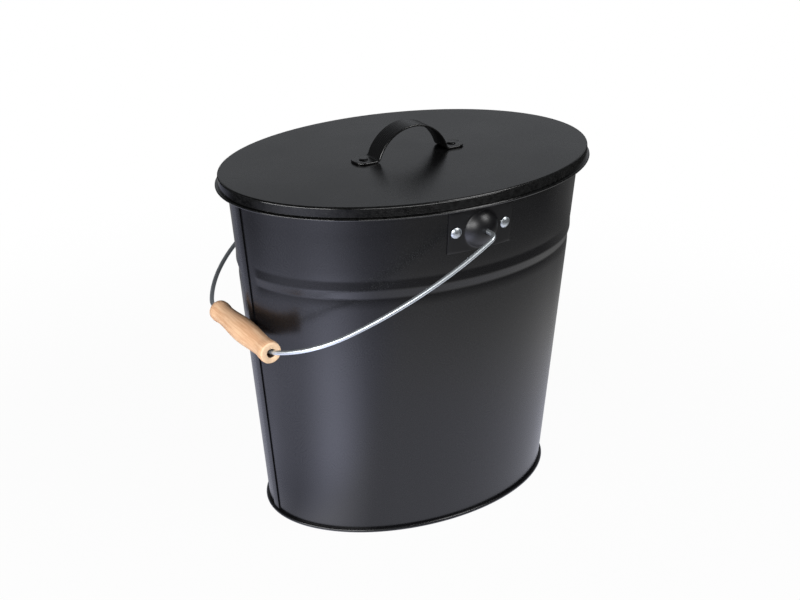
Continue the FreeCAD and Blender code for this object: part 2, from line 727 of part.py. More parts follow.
def wooden_grip():
    """Turned grip with a swelling in the middle, two necks and thick ends, bored for the wire."""
    body = new_body("wooden_grip")
    sketch = new_sketch(body, "grip_profile", "XY_Plane")
    half = S.grip_length / 2
    neck_x = half - S.grip_neck_inset
    neck_y = S.grip_neck / 2 + S.grip_neck_round
    swell = (S.grip_middle - S.grip_neck) / 2
    swell_radius = (neck_x * neck_x + swell * swell) / (swell * 2) - S.grip_neck_round
    swell_y = S.grip_middle / 2 - swell_radius
    end_x = half - S.grip_end_inset
    end_run = S.grip_neck_inset - S.grip_end_inset
    step = (S.grip_end - S.grip_neck) / 2
    end_radius = (end_run * end_run + step * step) / (step * 2) - S.grip_neck_round
    end_y = S.grip_end / 2 - end_radius

    swell_middle = Vector(0, swell_y.number, 0)
    neck_middle = Vector(neck_x.number, neck_y.number, 0)
    end_middle = Vector(end_x.number, end_y.number, 0)
    face_x = half.number
    face_y = end_y.number + math.sqrt(end_radius.number ** 2 - S.grip_end_inset.number ** 2)
    bore = S.grip_bore.number / 2
    face_corner = Vector(face_x, face_y, 0)
    to_end = angle_from(end_middle, neck_middle)
    to_swell = angle_from(swell_middle, neck_middle)
    top = Vector(0, S.grip_middle.number / 2, 0)
    sketch.addGeometry(Part.LineSegment(Vector(0, bore, 0), Vector(face_x, bore, 0)), False)
    sketch.addGeometry(Part.LineSegment(Vector(face_x, bore, 0), face_corner), False)
    sketch.addGeometry(arc(end_middle, end_radius.number, angle_from(end_middle, face_corner), to_end), False)
    sketch.addGeometry(arc(neck_middle, S.grip_neck_round.number, to_swell - math.pi, to_end - math.pi), False)
    sketch.addGeometry(arc(swell_middle, swell_radius.number, to_swell, math.pi / 2), False)
    sketch.addGeometry(Part.LineSegment(top, Vector(0, bore, 0)), False)

    follow_on(sketch, "Coincident", 0, 1)
    follow_on(sketch, "Coincident", 1, 2)
    sketch.addConstraint(Sketcher.Constraint("Tangent", 2, END, 3, END))
    sketch.addConstraint(Sketcher.Constraint("Tangent", 3, START, 4, START))
    follow_on(sketch, "Coincident", 4, 5)
    follow_on(sketch, "Coincident", 5, 0)
    hold(sketch, 0, START, 0, S.grip_bore / 2)
    hold(sketch, 0, END, half, S.grip_bore / 2)
    hold(sketch, 1, END, x=half)
    hold(sketch, 2, MIDDLE, end_x)
    bind(sketch, "Radius", 2, end_radius)
    hold(sketch, 3, MIDDLE, neck_x, neck_y)
    bind(sketch, "Radius", 3, S.grip_neck_round)
    hold(sketch, 4, MIDDLE, x=0)
    hold(sketch, 4, END, 0, S.grip_middle / 2)
    doc.recompute()
    shape = turned(body, "grip_half", sketch, "H_Axis")
    mirrored(body, "grip_both_halves", [shape], "YZ_Plane")

    def end_edge(edge):
        at = edge.BoundBox
        return at.XLength < 0.01 and abs(abs(at.XMin) - face_x) < 0.01 and at.YLength > 2.5 * bore

    rounded(body, "grip_rounded", S.grip_edge, end_edge)
    angle = math.radians(bail_rest_angle())
    reach = BAIL_REACH.number
    place = Vector(-reach * math.cos(angle), -grip_slip(), EAR_LEVEL.number - reach * math.sin(angle))
    body.Placement = Placement(place, Rotation(Vector(0, 0, 1), 90))
    return body


# Lid

def lid_cover():
    """Flat oval cover with a skirt that goes over the rolled rim and ends in a rolled lip."""
    corner_up = LID_TOP - S.lid_edge
    lip_radius = S.lip_height / 2
    lip_out = S.lip_proud - lip_radius
    outline = roll(-S.lid_edge, corner_up, S.lid_edge, 90.0, 0.0)
    outline.append((as_size(0), LIP_LEVEL + lip_radius))
    outline += roll(lip_out, LIP_LEVEL, lip_radius, 90.0, -90.0)
    outline.append((-S.lid_gauge, LIP_LEVEL - lip_radius))
    outline += roll(-S.lid_edge, corner_up, S.lid_edge - S.lid_gauge, 0.0, 90.0)
    cover = loft("lid_pressing", lid_ring, outline)
    radius = S.lid_rivet_shank / 2 + S.rivet_play
    holes = []
    for name, x in (("left", -lid_rivet_x()), ("right", lid_rivet_x())):
        hole = rod("lid_hole_" + name, radius, REACH * 2, Placement())
        hole.setExpression("Placement.Base.x", x.formula)
        hole.setExpression("Placement.Base.z", (LID_TOP - REACH).formula)
        holes.append(hole)
    return cut("lid_cover", cover, fused("lid_holes", *holes))


def handle_foot_start():
    """Where a foot of the lid's handle turns flat, out from the middle."""
    gauge = S.handle_gauge / 2
    reach = S.handle_arch - gauge + S.handle_bend
    drop = gauge + S.handle_bend - S.handle_rise + S.handle_arch
    return root(reach * reach - drop * drop)


def lid_rivet_x():
    return handle_foot_start() + S.lid_rivet_inset


def lid_handle():
    """Strip of steel, arched for the hand, with a flat foot at each end."""
    body = new_body("lid_handle")
    path = new_sketch(body, "handle_path", "XZ_Plane")
    gauge = S.handle_gauge / 2
    arch = S.handle_arch - gauge
    top = S.handle_rise - gauge
    bend = S.handle_bend
    foot_x = handle_foot_start()
    arch_middle = Vector(0, top.number - arch.number, 0)
    bend_middle = Vector(foot_x.number, gauge.number + bend.number, 0)
    to_bend = angle_from(arch_middle, bend_middle)
    path.addGeometry(arc(arch_middle, arch.number, to_bend, math.pi / 2), False)
    path.addGeometry(arc(bend_middle, bend.number, to_bend + math.pi, 1.5 * math.pi), False)
    foot_end = Vector(foot_x.number + S.handle_foot.number, gauge.number, 0)
    path.addGeometry(Part.LineSegment(Vector(foot_x.number, gauge.number, 0), foot_end), False)
    path.addConstraint(Sketcher.Constraint("Tangent", 0, START, 1, START))
    path.addConstraint(Sketcher.Constraint("Tangent", 1, END, 2, START))
    path.addConstraint(Sketcher.Constraint("Horizontal", 2))
    hold(path, 0, MIDDLE, x=0)
    hold(path, 0, END, 0, top)
    bind(path, "Radius", 0, arch)
    bind(path, "Radius", 1, bend)
    hold(path, 2, END, y=gauge)
    bind(path, "Distance", 2, S.handle_foot)

    section = new_sketch(body, "handle_section", "YZ_Plane")
    side = S.handle_width / 2
    low = S.handle_rise - S.handle_gauge
    corners = ((-side, low), (side, low), (side, S.handle_rise), (-side, S.handle_rise))
    points = [Vector(x.number, y.number, 0) for x, y in corners]
    for number, point in enumerate(points):
        section.addGeometry(Part.LineSegment(point, points[(number + 1) % 4]), False)
    for number in range(4):
        follow_on(section, "Coincident", number, (number + 1) % 4)
    section.addConstraint(Sketcher.Constraint("Symmetric", 0, START, 0, END, -2))
    section.addConstraint(Sketcher.Constraint("Vertical", 1))
    section.addConstraint(Sketcher.Constraint("Vertical", 3))
    section.addConstraint(Sketcher.Constraint("Horizontal", 2))
    bind(section, "Distance", 0, S.handle_width)
    bind(section, "Distance", 1, S.handle_gauge)
    hold(section, 2, START, y=S.handle_rise)
    doc.recompute()
    strip = swept(body, "handle_half", section, path)
    mirrored(body, "handle_both_halves", [strip], "YZ_Plane")

    tip = foot_end.x

    def foot_corner(edge):
        at = edge.BoundBox
        upright = at.XLength < 0.01 and at.YLength < 0.01
        return upright and abs(abs(at.XMin) - tip) < 0.01

    rounded(body, "handle_feet", S.handle_corner, foot_corner)

    half_width = side.number

    def long_edge(edge):
        at = edge.BoundBox
        return at.YLength < 0.01 and abs(abs(at.YMin) - half_width) < 0.01 and at.XLength > 0.01

    rounded(body, "handle_edges", S.handle_edge, long_edge)

    holes = new_sketch(body, "handle_holes", "XY_Plane")
    radius = S.lid_rivet_shank / 2 + S.rivet_play
    for number, x in enumerate((lid_rivet_x(), -lid_rivet_x())):
        holes.addGeometry(Part.Circle(Vector(x.number, 0, 0), Vector(0, 0, 1), radius.number), False)
        bind(holes, "Radius", number, radius)
    hold(holes, 0, MIDDLE, lid_rivet_x(), 0)
    holes.addConstraint(Sketcher.Constraint("Symmetric", 0, MIDDLE, 1, MIDDLE, -2))
    doc.recompute()
    drilled = body.newObject("PartDesign::Pocket", "handle_drilled")
    drilled.Profile = holes
    drilled.Type = "ThroughAll"
    drilled.Midplane = True
    body.Tip = drilled
    body.setExpression("Placement.Base.z", LID_TOP.formula)
    return body


def lid_rivets():
    held = S.handle_gauge + S.lid_gauge + S.rivet_play * 2
    seat = (LID_TOP + S.handle_gauge + S.rivet_play).number
    return [
        rivet("lid_rivet_" + name, S.lid_rivet_head, S.lid_rivet_head_height, S.lid_rivet_shank,
              S.lid_rivet_tail, S.lid_rivet_tail_height, held,
              Vector(end * lid_rivet_x().number, 0, seat), Vector(0, 0, 1))
        for name, end in (("left", -1), ("right", 1))
    ]


def make_parts():
    ear = front_ear()
    parts = [bucket_wall(), rim_wire(), bucket_base(), ear, rear_ear(ear)]
    parts += ear_rivets()
    parts += [bail_wire(), wooden_grip(), lid_cover(), lid_handle()]
    parts += lid_rivets()
    return parts


def check_document(parts):
    for item in doc.Objects:
        if "Invalid" in item.State or "Error" in item.State:
            raise RuntimeError("%s failed to build: %s" % (item.Label, item.State))
    for part in parts:
        shape = part.Shape
        if shape.isNull() or not shape.isValid() or len(shape.Solids) != 1:
            raise RuntimeError("%s isn't one sound solid" % part.Label)


parts = make_parts()
doc.recompute()
check_document(parts)
os.makedirs("parts", exist_ok=True)
for part in parts:
    part.Shape.exportStep("parts/%s.step" % part.Label)
    print("%-24s %10.1f mm3" % (part.Label, part.Shape.Volume))
print("bail at rest: %.3f degrees below the level, reach %.3f mm" % (bail_rest_angle(), BAIL_REACH.number))
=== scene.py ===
"""Looks of an oval ash bucket of black sheet steel, with a wire bail, a turned grip and a lid."""

import json
import math

import bmesh
import bpy
from bpy.props import FloatProperty, FloatVectorProperty, IntProperty, PointerProperty
from mathutils import Matrix, Vector


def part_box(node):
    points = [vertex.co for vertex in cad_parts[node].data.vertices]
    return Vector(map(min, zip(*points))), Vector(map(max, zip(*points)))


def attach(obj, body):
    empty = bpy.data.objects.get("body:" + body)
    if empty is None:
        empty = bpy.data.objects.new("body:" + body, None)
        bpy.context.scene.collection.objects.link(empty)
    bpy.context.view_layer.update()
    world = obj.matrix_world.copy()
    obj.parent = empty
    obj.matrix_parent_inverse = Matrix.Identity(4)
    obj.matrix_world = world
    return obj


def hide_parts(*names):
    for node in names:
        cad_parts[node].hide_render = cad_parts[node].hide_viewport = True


bl_info = {
    "name": "Oval ash bucket",
    "version": (1, 0, 0),
    "blender": (4, 5, 0),
    "location": "View3D > Sidebar > Ash bucket",
    "description": "Dresses an ash bucket's solids with fine pieces, finishes and a plain stage",
    "category": "Add Mesh",
}

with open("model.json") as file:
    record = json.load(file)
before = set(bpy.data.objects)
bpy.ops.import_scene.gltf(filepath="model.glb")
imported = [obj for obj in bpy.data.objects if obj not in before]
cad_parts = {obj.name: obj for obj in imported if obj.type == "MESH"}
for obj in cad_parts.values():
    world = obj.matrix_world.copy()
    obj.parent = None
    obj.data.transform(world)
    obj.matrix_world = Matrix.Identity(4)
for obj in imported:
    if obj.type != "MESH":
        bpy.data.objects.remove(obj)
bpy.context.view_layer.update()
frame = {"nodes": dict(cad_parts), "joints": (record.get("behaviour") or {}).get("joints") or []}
JOINT_AT = {joint["name"]: Vector(joint["pos_m"]) for joint in frame["joints"] if "pos_m" in joint}
EAR_AXIS = JOINT_AT["bail_swing"]
GRIP_AXIS = JOINT_AT["grip_spin"]

# Lengths in metres that stay the same when the bucket's sizes change
PLAY = 0.0002  # between sheets that are folded or riveted together
SEAT_GAP = 0.0001  # under a rivet's head
PRESS_FADE = 0.003  # half of the run in which the rib dies out beside the seam
RIB_MARGIN = 0.001  # fine rows beyond the grooves
RIB_EASING = 0.00025  # step between the heights that are averaged to ease the rib's corners
LOW_LEVELS = (0.012, 0.06, 0.12, 0.18)  # rows of the plain wall below the rib
HIGH_LEVELS = (0.285, 0.31)  # and above it
LAP_DEPTH = 0.0028  # front edge of the seam to the wall under its lap
DOME_BLEND = 0.0011  # how softly an ear's dome runs into its plate
DOME_STEP = 0.0004  # between the fine rows at the dome's foot
EAR_EDGE = 0.00022  # easing of an ear's edges
EAR_TRIM = 0.00003  # taken off an ear's sheet, which keeps it off the wall
HEAD_DEPTH = 0.00641  # wall to the back of the bail's head, inside the dome
WIRE_TRIM = 0.00004  # taken off the wire, which keeps it inside the solid's box
GRIP_TRIM = 0.00001  # taken off the grip's radius, likewise
NECK_IN = 0.015  # end of the grip to its neck
END_IN = 0.004  # end of the grip to the widest place beside it
GRIP_EDGE = 0.0014  # rounding of the grip's ends
BORE_EDGE = 0.0006  # easing of the grip's bore
LID_MARGIN = 0.0005  # flat of the lid beside its rounded edge
SKIRT_EASE = 0.0003  # rows of the lid's skirt beside its corners
LIP_EASE = 0.0002  # inside edge of the lid's lip
FOOT_CORNER = 0.008  # corner radius of the handle's feet
STRIP_CORNER = 0.0009  # rounding along the edges of the handle's strip
FLUTE_DEPTH = 0.00006  # flutes of the handle's strip
RUB_DROP = 0.0001  # lid's top to the coat that is rubbed
RUB_RUN = 0.0012  # run in which the lid's rubbed coat begins
FLOOR_REACH = 12.0  # middle of the floor to its edges

# Angles in degrees
RIM_CLOSE = -130.0  # where the rolled rim closes on its wire
GRIP_TURN = 28.0  # bend of the wire beside the grip
BOW_TURN = 38.0  # turn of the bail's bow

WHITE = (1.0, 1.0, 1.0)
LEFT = (-1.0, 0.0, 0.0)
VIEW_WAY = (0.525, 0.851, 0.0)  # the way that the camera looks, along the floor


# Sizes and colours that a user would change

def length(default, name, description):
    return FloatProperty(
        name=name, description=description, default=default, min=0.0, precision=5,
        subtype="DISTANCE", unit="LENGTH",
    )


def lengths(default, name, description):
    return FloatVectorProperty(
        name=name, description=description, default=default, min=0.0, precision=5,
        size=len(default), unit="LENGTH",
    )


def share(default, name, description):
    return FloatProperty(
        name=name, description=description, default=default, min=0.0, max=1.0, subtype="FACTOR",
    )


def colour(default, name, description):
    return FloatVectorProperty(
        name=name, description=description, default=default, min=0.0, max=1.0, size=3,
        subtype="COLOR",
    )


def angle(degrees, name, description):
    return FloatProperty(
        name=name, description=description, default=math.radians(degrees), subtype="ANGLE",
        unit="ROTATION",
    )


class AshBucketSizes(bpy.types.PropertyGroup):
    """Sizes of the bucket's pieces."""

    foot: lengths((0.2986, 0.2031), "Foot", "Outside of the wall at the floor, along X and Y")
    mouth: lengths((0.3565, 0.2458), "Mouth", "Outside of the wall at the rim, along X and Y")
    rim_height: length(0.3389, "Rim height", "Top of the rolled rim above the floor")
    sheet: length(0.0008, "Sheet", "Thickness of the wall, base and lid")
    rim_roll: length(0.0064, "Rim roll", "Rolled rim, across the roll")
    rib_level: length(0.2578, "Rib level", "Crest of the pressed rib above the floor")
    rib_proud: length(0.0007, "Rib height", "Rib's crest, proud of the wall")
    upper_groove: lengths(
        (0.009, 0.00012, 0.0097), "Upper groove", "Rise from the rib's crest, depth and run out")
    lower_groove: lengths(
        (0.008, 0.0007, 0.0114), "Lower groove", "Fall from the rib's crest, depth and run out")
    rib_stop: length(0.009, "Rib stop", "Plain wall between the seam and the ends of the rib")
    seam_width: length(0.011, "Seam width", "Folded side seam, across")
    seam_proud: length(0.0013, "Seam height", "Folded side seam, proud of the wall")
    floor_level: length(0.008, "Floor level", "Top of the base panel above the floor")
    floor_round: length(0.0025, "Floor corner", "Outside corner of the base panel")
    foot_ring_height: length(0.0038, "Foot ring height", "Folded foot ring, top to bottom")
    foot_ring_proud: length(0.00325, "Foot ring depth", "Folded foot ring, proud of the wall")
    ear_sheet: length(0.001, "Ear sheet", "Thickness of an ear")
    ear_width: length(0.067, "Ear width", "Ear plate, along the wall")
    ear_height: length(0.039, "Ear height", "Ear plate, up the wall")
    dome_width: length(0.035, "Dome width", "Pressed dome of an ear, across its foot")
    dome_height: length(0.011, "Dome height", "Pressed dome of an ear, proud of the wall")
    rivet_out: length(0.0257, "Rivet place", "Middle of the ear to an ear rivet")
    rivet_head: length(0.0103, "Ear rivet head", "Ear rivet's head, across")
    rivet_head_height: length(0.0022, "Ear rivet height", "Ear rivet's head, high")
    wire: length(0.0042, "Bail wire", "Wire of the bail, across")
    wire_play: length(0.0004, "Bail play", "Gap between the wire and the ear's hole")
    bail_stand_off: length(0.013, "Bail stand-off", "Dome to the middle of the bail's arm")
    ear_bend: length(0.007, "Ear bend", "Bend radius of the wire at the ear")
    grip_bend: length(0.028, "Grip bend", "Bend radius of the wire beside the grip")
    bow_bend: length(0.115, "Bow bend", "Bend radius of the bail's bow")
    grip_length: length(0.108, "Grip length", "Wooden grip, end to end")
    grip_middle: length(0.0228, "Grip middle", "Swelling in the middle of the grip, across")
    grip_neck: length(0.0188, "Grip neck", "Necks of the grip, across")
    grip_end: length(0.0206, "Grip end", "Ends of the grip, across")
    grip_bore: length(0.0076, "Grip bore", "Hole through the grip, across")
    lid_edge: length(0.0016, "Lid edge", "Rounded edge of the lid's top")
    lip_height: length(0.0026, "Lip height", "Rolled lip of the lid's skirt, high")
    lip_proud: length(0.0025, "Lip depth", "Rolled lip of the lid's skirt, proud of it")
    handle_width: length(0.022, "Handle width", "Strip of the lid's handle, wide")
    handle_sheet: length(0.002, "Handle sheet", "Strip of the lid's handle, thick")
    handle_arch: length(0.0395, "Handle arch", "Outside radius of the handle's arch")
    handle_bend: length(0.004, "Handle bend", "Bend radius above a foot of the handle")
    handle_flutes: IntProperty(
        name="Handle flutes", description="Fine flutes along the handle's strip", default=7, min=1,
    )
    lid_rivet_place: length(0.04815, "Lid rivet place", "Middle of the lid to a handle's rivet")
    lid_rivet_head: length(0.0084, "Lid rivet head", "Lid rivet's head, across")
    rounds: IntProperty(
        name="Rounds", description="Faces round the oval", default=384, min=32, max=1024,
    )


class AshBucketFinish(bpy.types.PropertyGroup):
    """Colours and sheen of the bucket's finishes."""

    wall_coat: colour((0.0052, 0.0052, 0.0062), "Wall coat", "Satin coat of bucket and ears")
    lid_coat: colour((0.0060, 0.0061, 0.0062), "Lid coat", "Fine-grained black coat of the lid")
    handle_coat: colour((0.0022, 0.0022, 0.0022), "Handle coat", "Smooth coat of the lid's handle")
    zinc: colour((0.64, 0.685, 0.72), "Zinc", "Bright zinc of the bail and the ear rivets")
    beech_light: colour((0.89, 0.59, 0.37), "Light beech", "Pale early wood of the grip")
    beech_dark: colour((0.69, 0.385, 0.215), "Dark beech", "Late wood and flecks of the grip")
    wall_roughness: share(0.27, "Wall roughness", "Roughness of the bucket's coat")
    lid_roughness: share(0.28, "Lid roughness", "Roughness of the lid's coat")
    handle_roughness: share(0.27, "Handle roughness", "Roughness of the handle's coat")
    zinc_roughness: share(0.37, "Zinc roughness", "Roughness of the zinc")


class AshBucketStage(bpy.types.PropertyGroup):
    """Camera, light and backdrop."""

    camera_place: FloatVectorProperty(
        name="Camera place", description="Where the camera stands", size=3,
        default=(-0.66155, -1.05943, 0.74531), subtype="TRANSLATION", unit="LENGTH",
    )
    camera_turn: angle(31.64, "Camera turn", "How far the view turns from +Y towards +X")
    camera_tilt: angle(23.97, "Camera tilt", "How far the view points below the horizon")
    lens: FloatProperty(name="Lens", description="Focal length in mm", default=63.0, min=1.0)
    floor_colour: colour((0.62, 0.62, 0.62), "Floor colour", "Pale floor under the bucket")
    soft_fill: share(0.06, "Soft fill", "Light from all round, on matt surfaces")


def sizes():
    return bpy.context.scene.ash_bucket_sizes


def finish():
    return bpy.context.scene.ash_bucket_finish


def stage():
    return bpy.context.scene.ash_bucket_stage


# Node trees

class TreeMaker:
    """Builds a node tree: each value put into a node is a socket, a number or a tuple."""

    def __init__(self, tree):
        self.tree = tree

    def add(self, kind, inputs=None, **settings):
        node = self.tree.nodes.new(kind)
        for name, value in settings.items():
            setattr(node, name, value)
        for name, value in (inputs or {}).items():
            self.put(node.inputs[name], value)
        return node

    def put(self, socket, value):
        if isinstance(value, bpy.types.NodeSocket):
            self.tree.links.new(value, socket)
        elif socket.type == "RGBA":
            socket.default_value = (*value, 1.0)
        else:
            socket.default_value = value

    def math(self, operation, *values):
        return self.add("ShaderNodeMath", dict(enumerate(values)), operation=operation).outputs[0]

    def chained(self, operation, first, *others):
        for other in others:
            first = self.math(operation, first, other)
        return first

    def times(self, *values):
        return self.chained("MULTIPLY", *values)

    def total(self, *values):
        return self.chained("ADD", *values)

    def gap(self, value, middle):
        """How far a value lies from a middle, to either side."""
        return self.math("ABSOLUTE", self.math("SUBTRACT", value, middle))

    def mapped(self, value, low, high, to_low=0.0, to_high=1.0, interpolation="LINEAR"):
        return self.add("ShaderNodeMapRange", {
            "Value": value, "From Min": low, "From Max": high, "To Min": to_low, "To Max": to_high,
        }, interpolation_type=interpolation).outputs["Result"]

    def eased(self, *ramp):
        """Like mapped, with a soft start and a soft end."""
        return self.mapped(*ramp, interpolation="SMOOTHSTEP")

    def mixed(self, amount, first, second):
        """Colour that goes from the first to the second."""
        node = self.add("ShaderNodeMix", data_type="RGBA")
        colours = [socket for socket in node.inputs if socket.type == "RGBA"]
        for socket, value in zip((node.inputs[0], *colours), (amount, first, second)):
            self.put(socket, value)
        return [socket for socket in node.outputs if socket.type == "RGBA"][0]

    def split(self, vector):
        return self.add("ShaderNodeSeparateXYZ", {"Vector": vector}).outputs

    def dot(self, vector, way):
        node = self.add("ShaderNodeVectorMath", {0: vector, 1: way}, operation="DOT_PRODUCT")
        return node.outputs["Value"]

    def object_place(self):
        return self.add("ShaderNodeTexCoord").outputs["Object"]

    def moved(self, place, shift=(0.0, 0.0, 0.0), scale=(1.0, 1.0, 1.0)):
        return self.add("ShaderNodeMapping", {
            "Vector": place, "Location": shift, "Scale": scale,
        }).outputs["Vector"]

    def noise(self, place, scale, detail, roughness=0.5):
        return self.add("ShaderNodeTexNoise", {
            "Vector": place, "Scale": scale, "Detail": detail, "Roughness": roughness,
        }).outputs["Fac"]

    def bump(self, height, depth):
        return self.add("ShaderNodeBump", {
            "Strength": 1.0, "Distance": depth, "Height": height,
        }).outputs["Normal"]

    def shaded(self, inputs):
        """Give the material a surface with these values."""
        shader = self.add("ShaderNodeBsdfPrincipled", inputs)
        self.add("ShaderNodeOutputMaterial", {"Surface": shader.outputs["BSDF"]})


SOCKET_KINDS = {float: "Float", int: "Int", tuple: "Color"}


def new_group(name, kind, inputs, outputs):
    """Empty node group: its maker, what it is given and what it puts out.

    Each socket is listed with its default, or with its kind if it has none.
    """
    tree = bpy.data.node_groups.new(name, kind)
    for direction, sockets in (("INPUT", inputs), ("OUTPUT", outputs)):
        for label, default in sockets.items():
            socket_kind = "NodeSocket" + SOCKET_KINDS.get(type(default), default)
            socket = tree.interface.new_socket(label, in_out=direction, socket_type=socket_kind)
            if type(default) in SOCKET_KINDS:
                socket.default_value = default
    maker = TreeMaker(tree)
    return maker, maker.add("NodeGroupInput").outputs, maker.add("NodeGroupOutput").inputs


def shape_tree(name, **inputs):
    """Make a function that builds a shape into one that hands out a geometry tree.

    The tree ends with real faces in one material. It is made the first time it is asked for.
    """
    sockets = {label.replace("_", " "): default for label, default in inputs.items()}

    def wrap(build):
        def tree():
            if name in bpy.data.node_groups:
                return bpy.data.node_groups[name]
            maker, given, result = new_group(
                name, "GeometryNodeTree", {**sockets, "Material": "Material"},
                {"Geometry": "Geometry"})
            mesh = maker.add("GeometryNodeRealizeInstances", {"Geometry": build(maker, given)})
            mesh = maker.add("GeometryNodeSetMaterial", {
                "Geometry": mesh.outputs["Geometry"], "Material": given["Material"],
            })
            maker.put(result["Geometry"], mesh.outputs["Geometry"])
            return maker.tree
        return tree
    return wrap


@shape_tree(
    "Oval sheet", Profile="Geometry", Half_Length=0.0, Half_Width=0.0, Length_Flare=0.0,
    Width_Flare=0.0, Press_From=0.0, Press_To=0.001, Rounds=64)
def oval_sheet_tree(maker, given):
    """Carries a profile round an oval.

    Each point of the profile holds (out, 0, up) from the oval's edge at the floor.
    """
    rows = maker.add(
        "GeometryNodeAttributeDomainSize", {"Geometry": given["Profile"]}, component="MESH",
    ).outputs["Point Count"]
    grid = maker.add("GeometryNodeMeshGrid", {
        "Vertices X": maker.math("ADD", given["Rounds"], 1), "Vertices Y": rows,
    }).outputs
    across = maker.split(grid["UV Map"])
    row = maker.math("ROUND", maker.times(across["Y"], maker.math("SUBTRACT", rows, 1)))

    def from_profile(kind, value):
        return maker.add("GeometryNodeSampleIndex", {
            "Geometry": given["Profile"], "Value": value, "Index": row,
        }, data_type=kind, domain="POINT").outputs["Value"]

    def stored(name):
        node = maker.add("GeometryNodeInputNamedAttribute", {"Name": name}, data_type="FLOAT")
        return from_profile("FLOAT", node.outputs["Attribute"])

    position = maker.add("GeometryNodeInputPosition").outputs[0]
    place = maker.split(from_profile("FLOAT_VECTOR", position))

    # Round the oval from the seam at -X, where what is pressed into the sheet fades out
    turn = maker.math("MULTIPLY_ADD", across["X"], 2 * math.pi, math.pi)
    cosine = maker.math("COSINE", turn)
    sine = maker.math("SINE", turn)
    from_seam = maker.math("ABSOLUTE", maker.times(sine, given["Half Width"]))
    pressed = maker.math(
        "MAXIMUM", maker.eased(from_seam, given["Press From"], given["Press To"]),
        maker.math("GREATER_THAN", cosine, 0.0))
    out = maker.math("MULTIPLY_ADD", stored("press"), pressed, place["X"])
    reach = stored("reach")

    def side(half, flare, part):
        edge = maker.total(maker.math("MULTIPLY_ADD", place["Z"], flare, half), out)
        return maker.times(edge, reach, part)

    position = maker.add("ShaderNodeCombineXYZ", {
        "X": side(given["Half Length"], given["Length Flare"], cosine),
        "Y": side(given["Half Width"], given["Width Flare"], sine),
        "Z": place["Z"],
    })
    mesh = maker.add("GeometryNodeStoreNamedAttribute", {
        "Geometry": grid["Mesh"], "Name": "UVMap", "Value": grid["UV Map"],
    }, data_type="FLOAT2", domain="CORNER")
    mesh = maker.add("GeometryNodeSetPosition", {
        "Geometry": mesh.outputs["Geometry"], "Position": position.outputs["Vector"],
    })
    mesh = maker.add("GeometryNodeMergeByDistance", {
        "Geometry": mesh.outputs["Geometry"], "Distance": 2e-6,
    })
    return mesh.outputs["Geometry"]


@shape_tree("Rivet set", Places="Geometry", Profile="Object", Rounds=48)
def rivet_set_tree(maker, given):
    """Sets one turned rivet on each point, with its head along the point's facing."""
    profile = maker.add("GeometryNodeObjectInfo", {"Object": given["Profile"]})
    rivet = maker.add("GeometryNodeGroup", {
        "Profile": profile.outputs["Geometry"], "Rounds": given["Rounds"],
    }, node_tree=oval_sheet_tree())
    facing = maker.add(
        "GeometryNodeInputNamedAttribute", {"Name": "facing"}, data_type="FLOAT_VECTOR")
    turn = maker.add(
        "FunctionNodeAlignRotationToVector", {"Vector": facing.outputs["Attribute"]}, axis="Z")
    return maker.add("GeometryNodeInstanceOnPoints", {
        "Points": given["Places"], "Instance": rivet.outputs["Geometry"],
        "Rotation": turn.outputs["Rotation"],
    }).outputs["Instances"]


@shape_tree("Bent wire", Path="Geometry", Thickness=0.004, Sides=32)
def bent_wire_tree(maker, given):
    """Draws a round wire along a path."""
    path = maker.add("GeometryNodeMeshToCurve", {"Mesh": given["Path"]})
    section = maker.add("GeometryNodeCurvePrimitiveCircle", {
        "Resolution": given["Sides"], "Radius": maker.times(given["Thickness"], 0.5),
    })
    return maker.add("GeometryNodeCurveToMesh", {
        "Curve": path.outputs["Curve"], "Profile Curve": section.outputs["Curve"],
        "Fill Caps": True,
    }).outputs["Mesh"]


# Finishes

def coat_grain_group():
    """Grain of a sprayed coat: a fine pebble in a slow orange peel, and patches of sheen."""
    if "Coat grain" in bpy.data.node_groups:
        return bpy.data.node_groups["Coat grain"]
    maker, given, result = new_group("Coat grain", "ShaderNodeTree", {
        "Grain Size": 0.0006, "Roughness": 0.45, "Colour": (0.02, 0.02, 0.02, 1.0), "Clouding": 0.0,
    }, {"Height": "Float", "Roughness": "Float", "Colour": "Color"})
    place = maker.object_place()

    def speckle(scale, detail):
        return maker.noise(place, scale, detail, 0.55)

    pebble = speckle(maker.math("DIVIDE", 1.0, given["Grain Size"]), 2.0)
    peel = speckle(maker.math("DIVIDE", 0.12, given["Grain Size"]), 1.0)
    patch = speckle(9.0, 3.0)
    rough = given["Roughness"]
    for source, strength in ((patch, 0.10), (pebble, 0.12)):
        rough = maker.math("MULTIPLY_ADD", maker.math("SUBTRACT", source, 0.5), strength, rough)
    light = maker.math("MULTIPLY_ADD", patch, 0.6, maker.times(pebble, 0.4))
    cloud = maker.times(maker.math("SUBTRACT", speckle(230.0, 2.0), 0.5), given["Clouding"])
    light = maker.total(maker.mapped(light, 0.3, 0.7, 0.82, 1.18), cloud)
    tint = maker.add("ShaderNodeVectorMath", {
        0: given["Colour"], "Scale": maker.math("MAXIMUM", light, 0.1),
    }, operation="SCALE")
    maker.put(result["Height"], maker.math("MULTIPLY_ADD", peel, 1.6, pebble))
    maker.put(result["Roughness"], rough)
    maker.put(result["Colour"], tint.outputs["Vector"])
    return maker.tree


def emptied(owner):
    """Maker for the cleared tree of a new material or world."""
    owner.use_nodes = True
    owner.node_tree.nodes.clear()
    return TreeMaker(owner.node_tree)


def new_material(name):
    material = bpy.data.materials.new(name)
    return material, emptied(material)


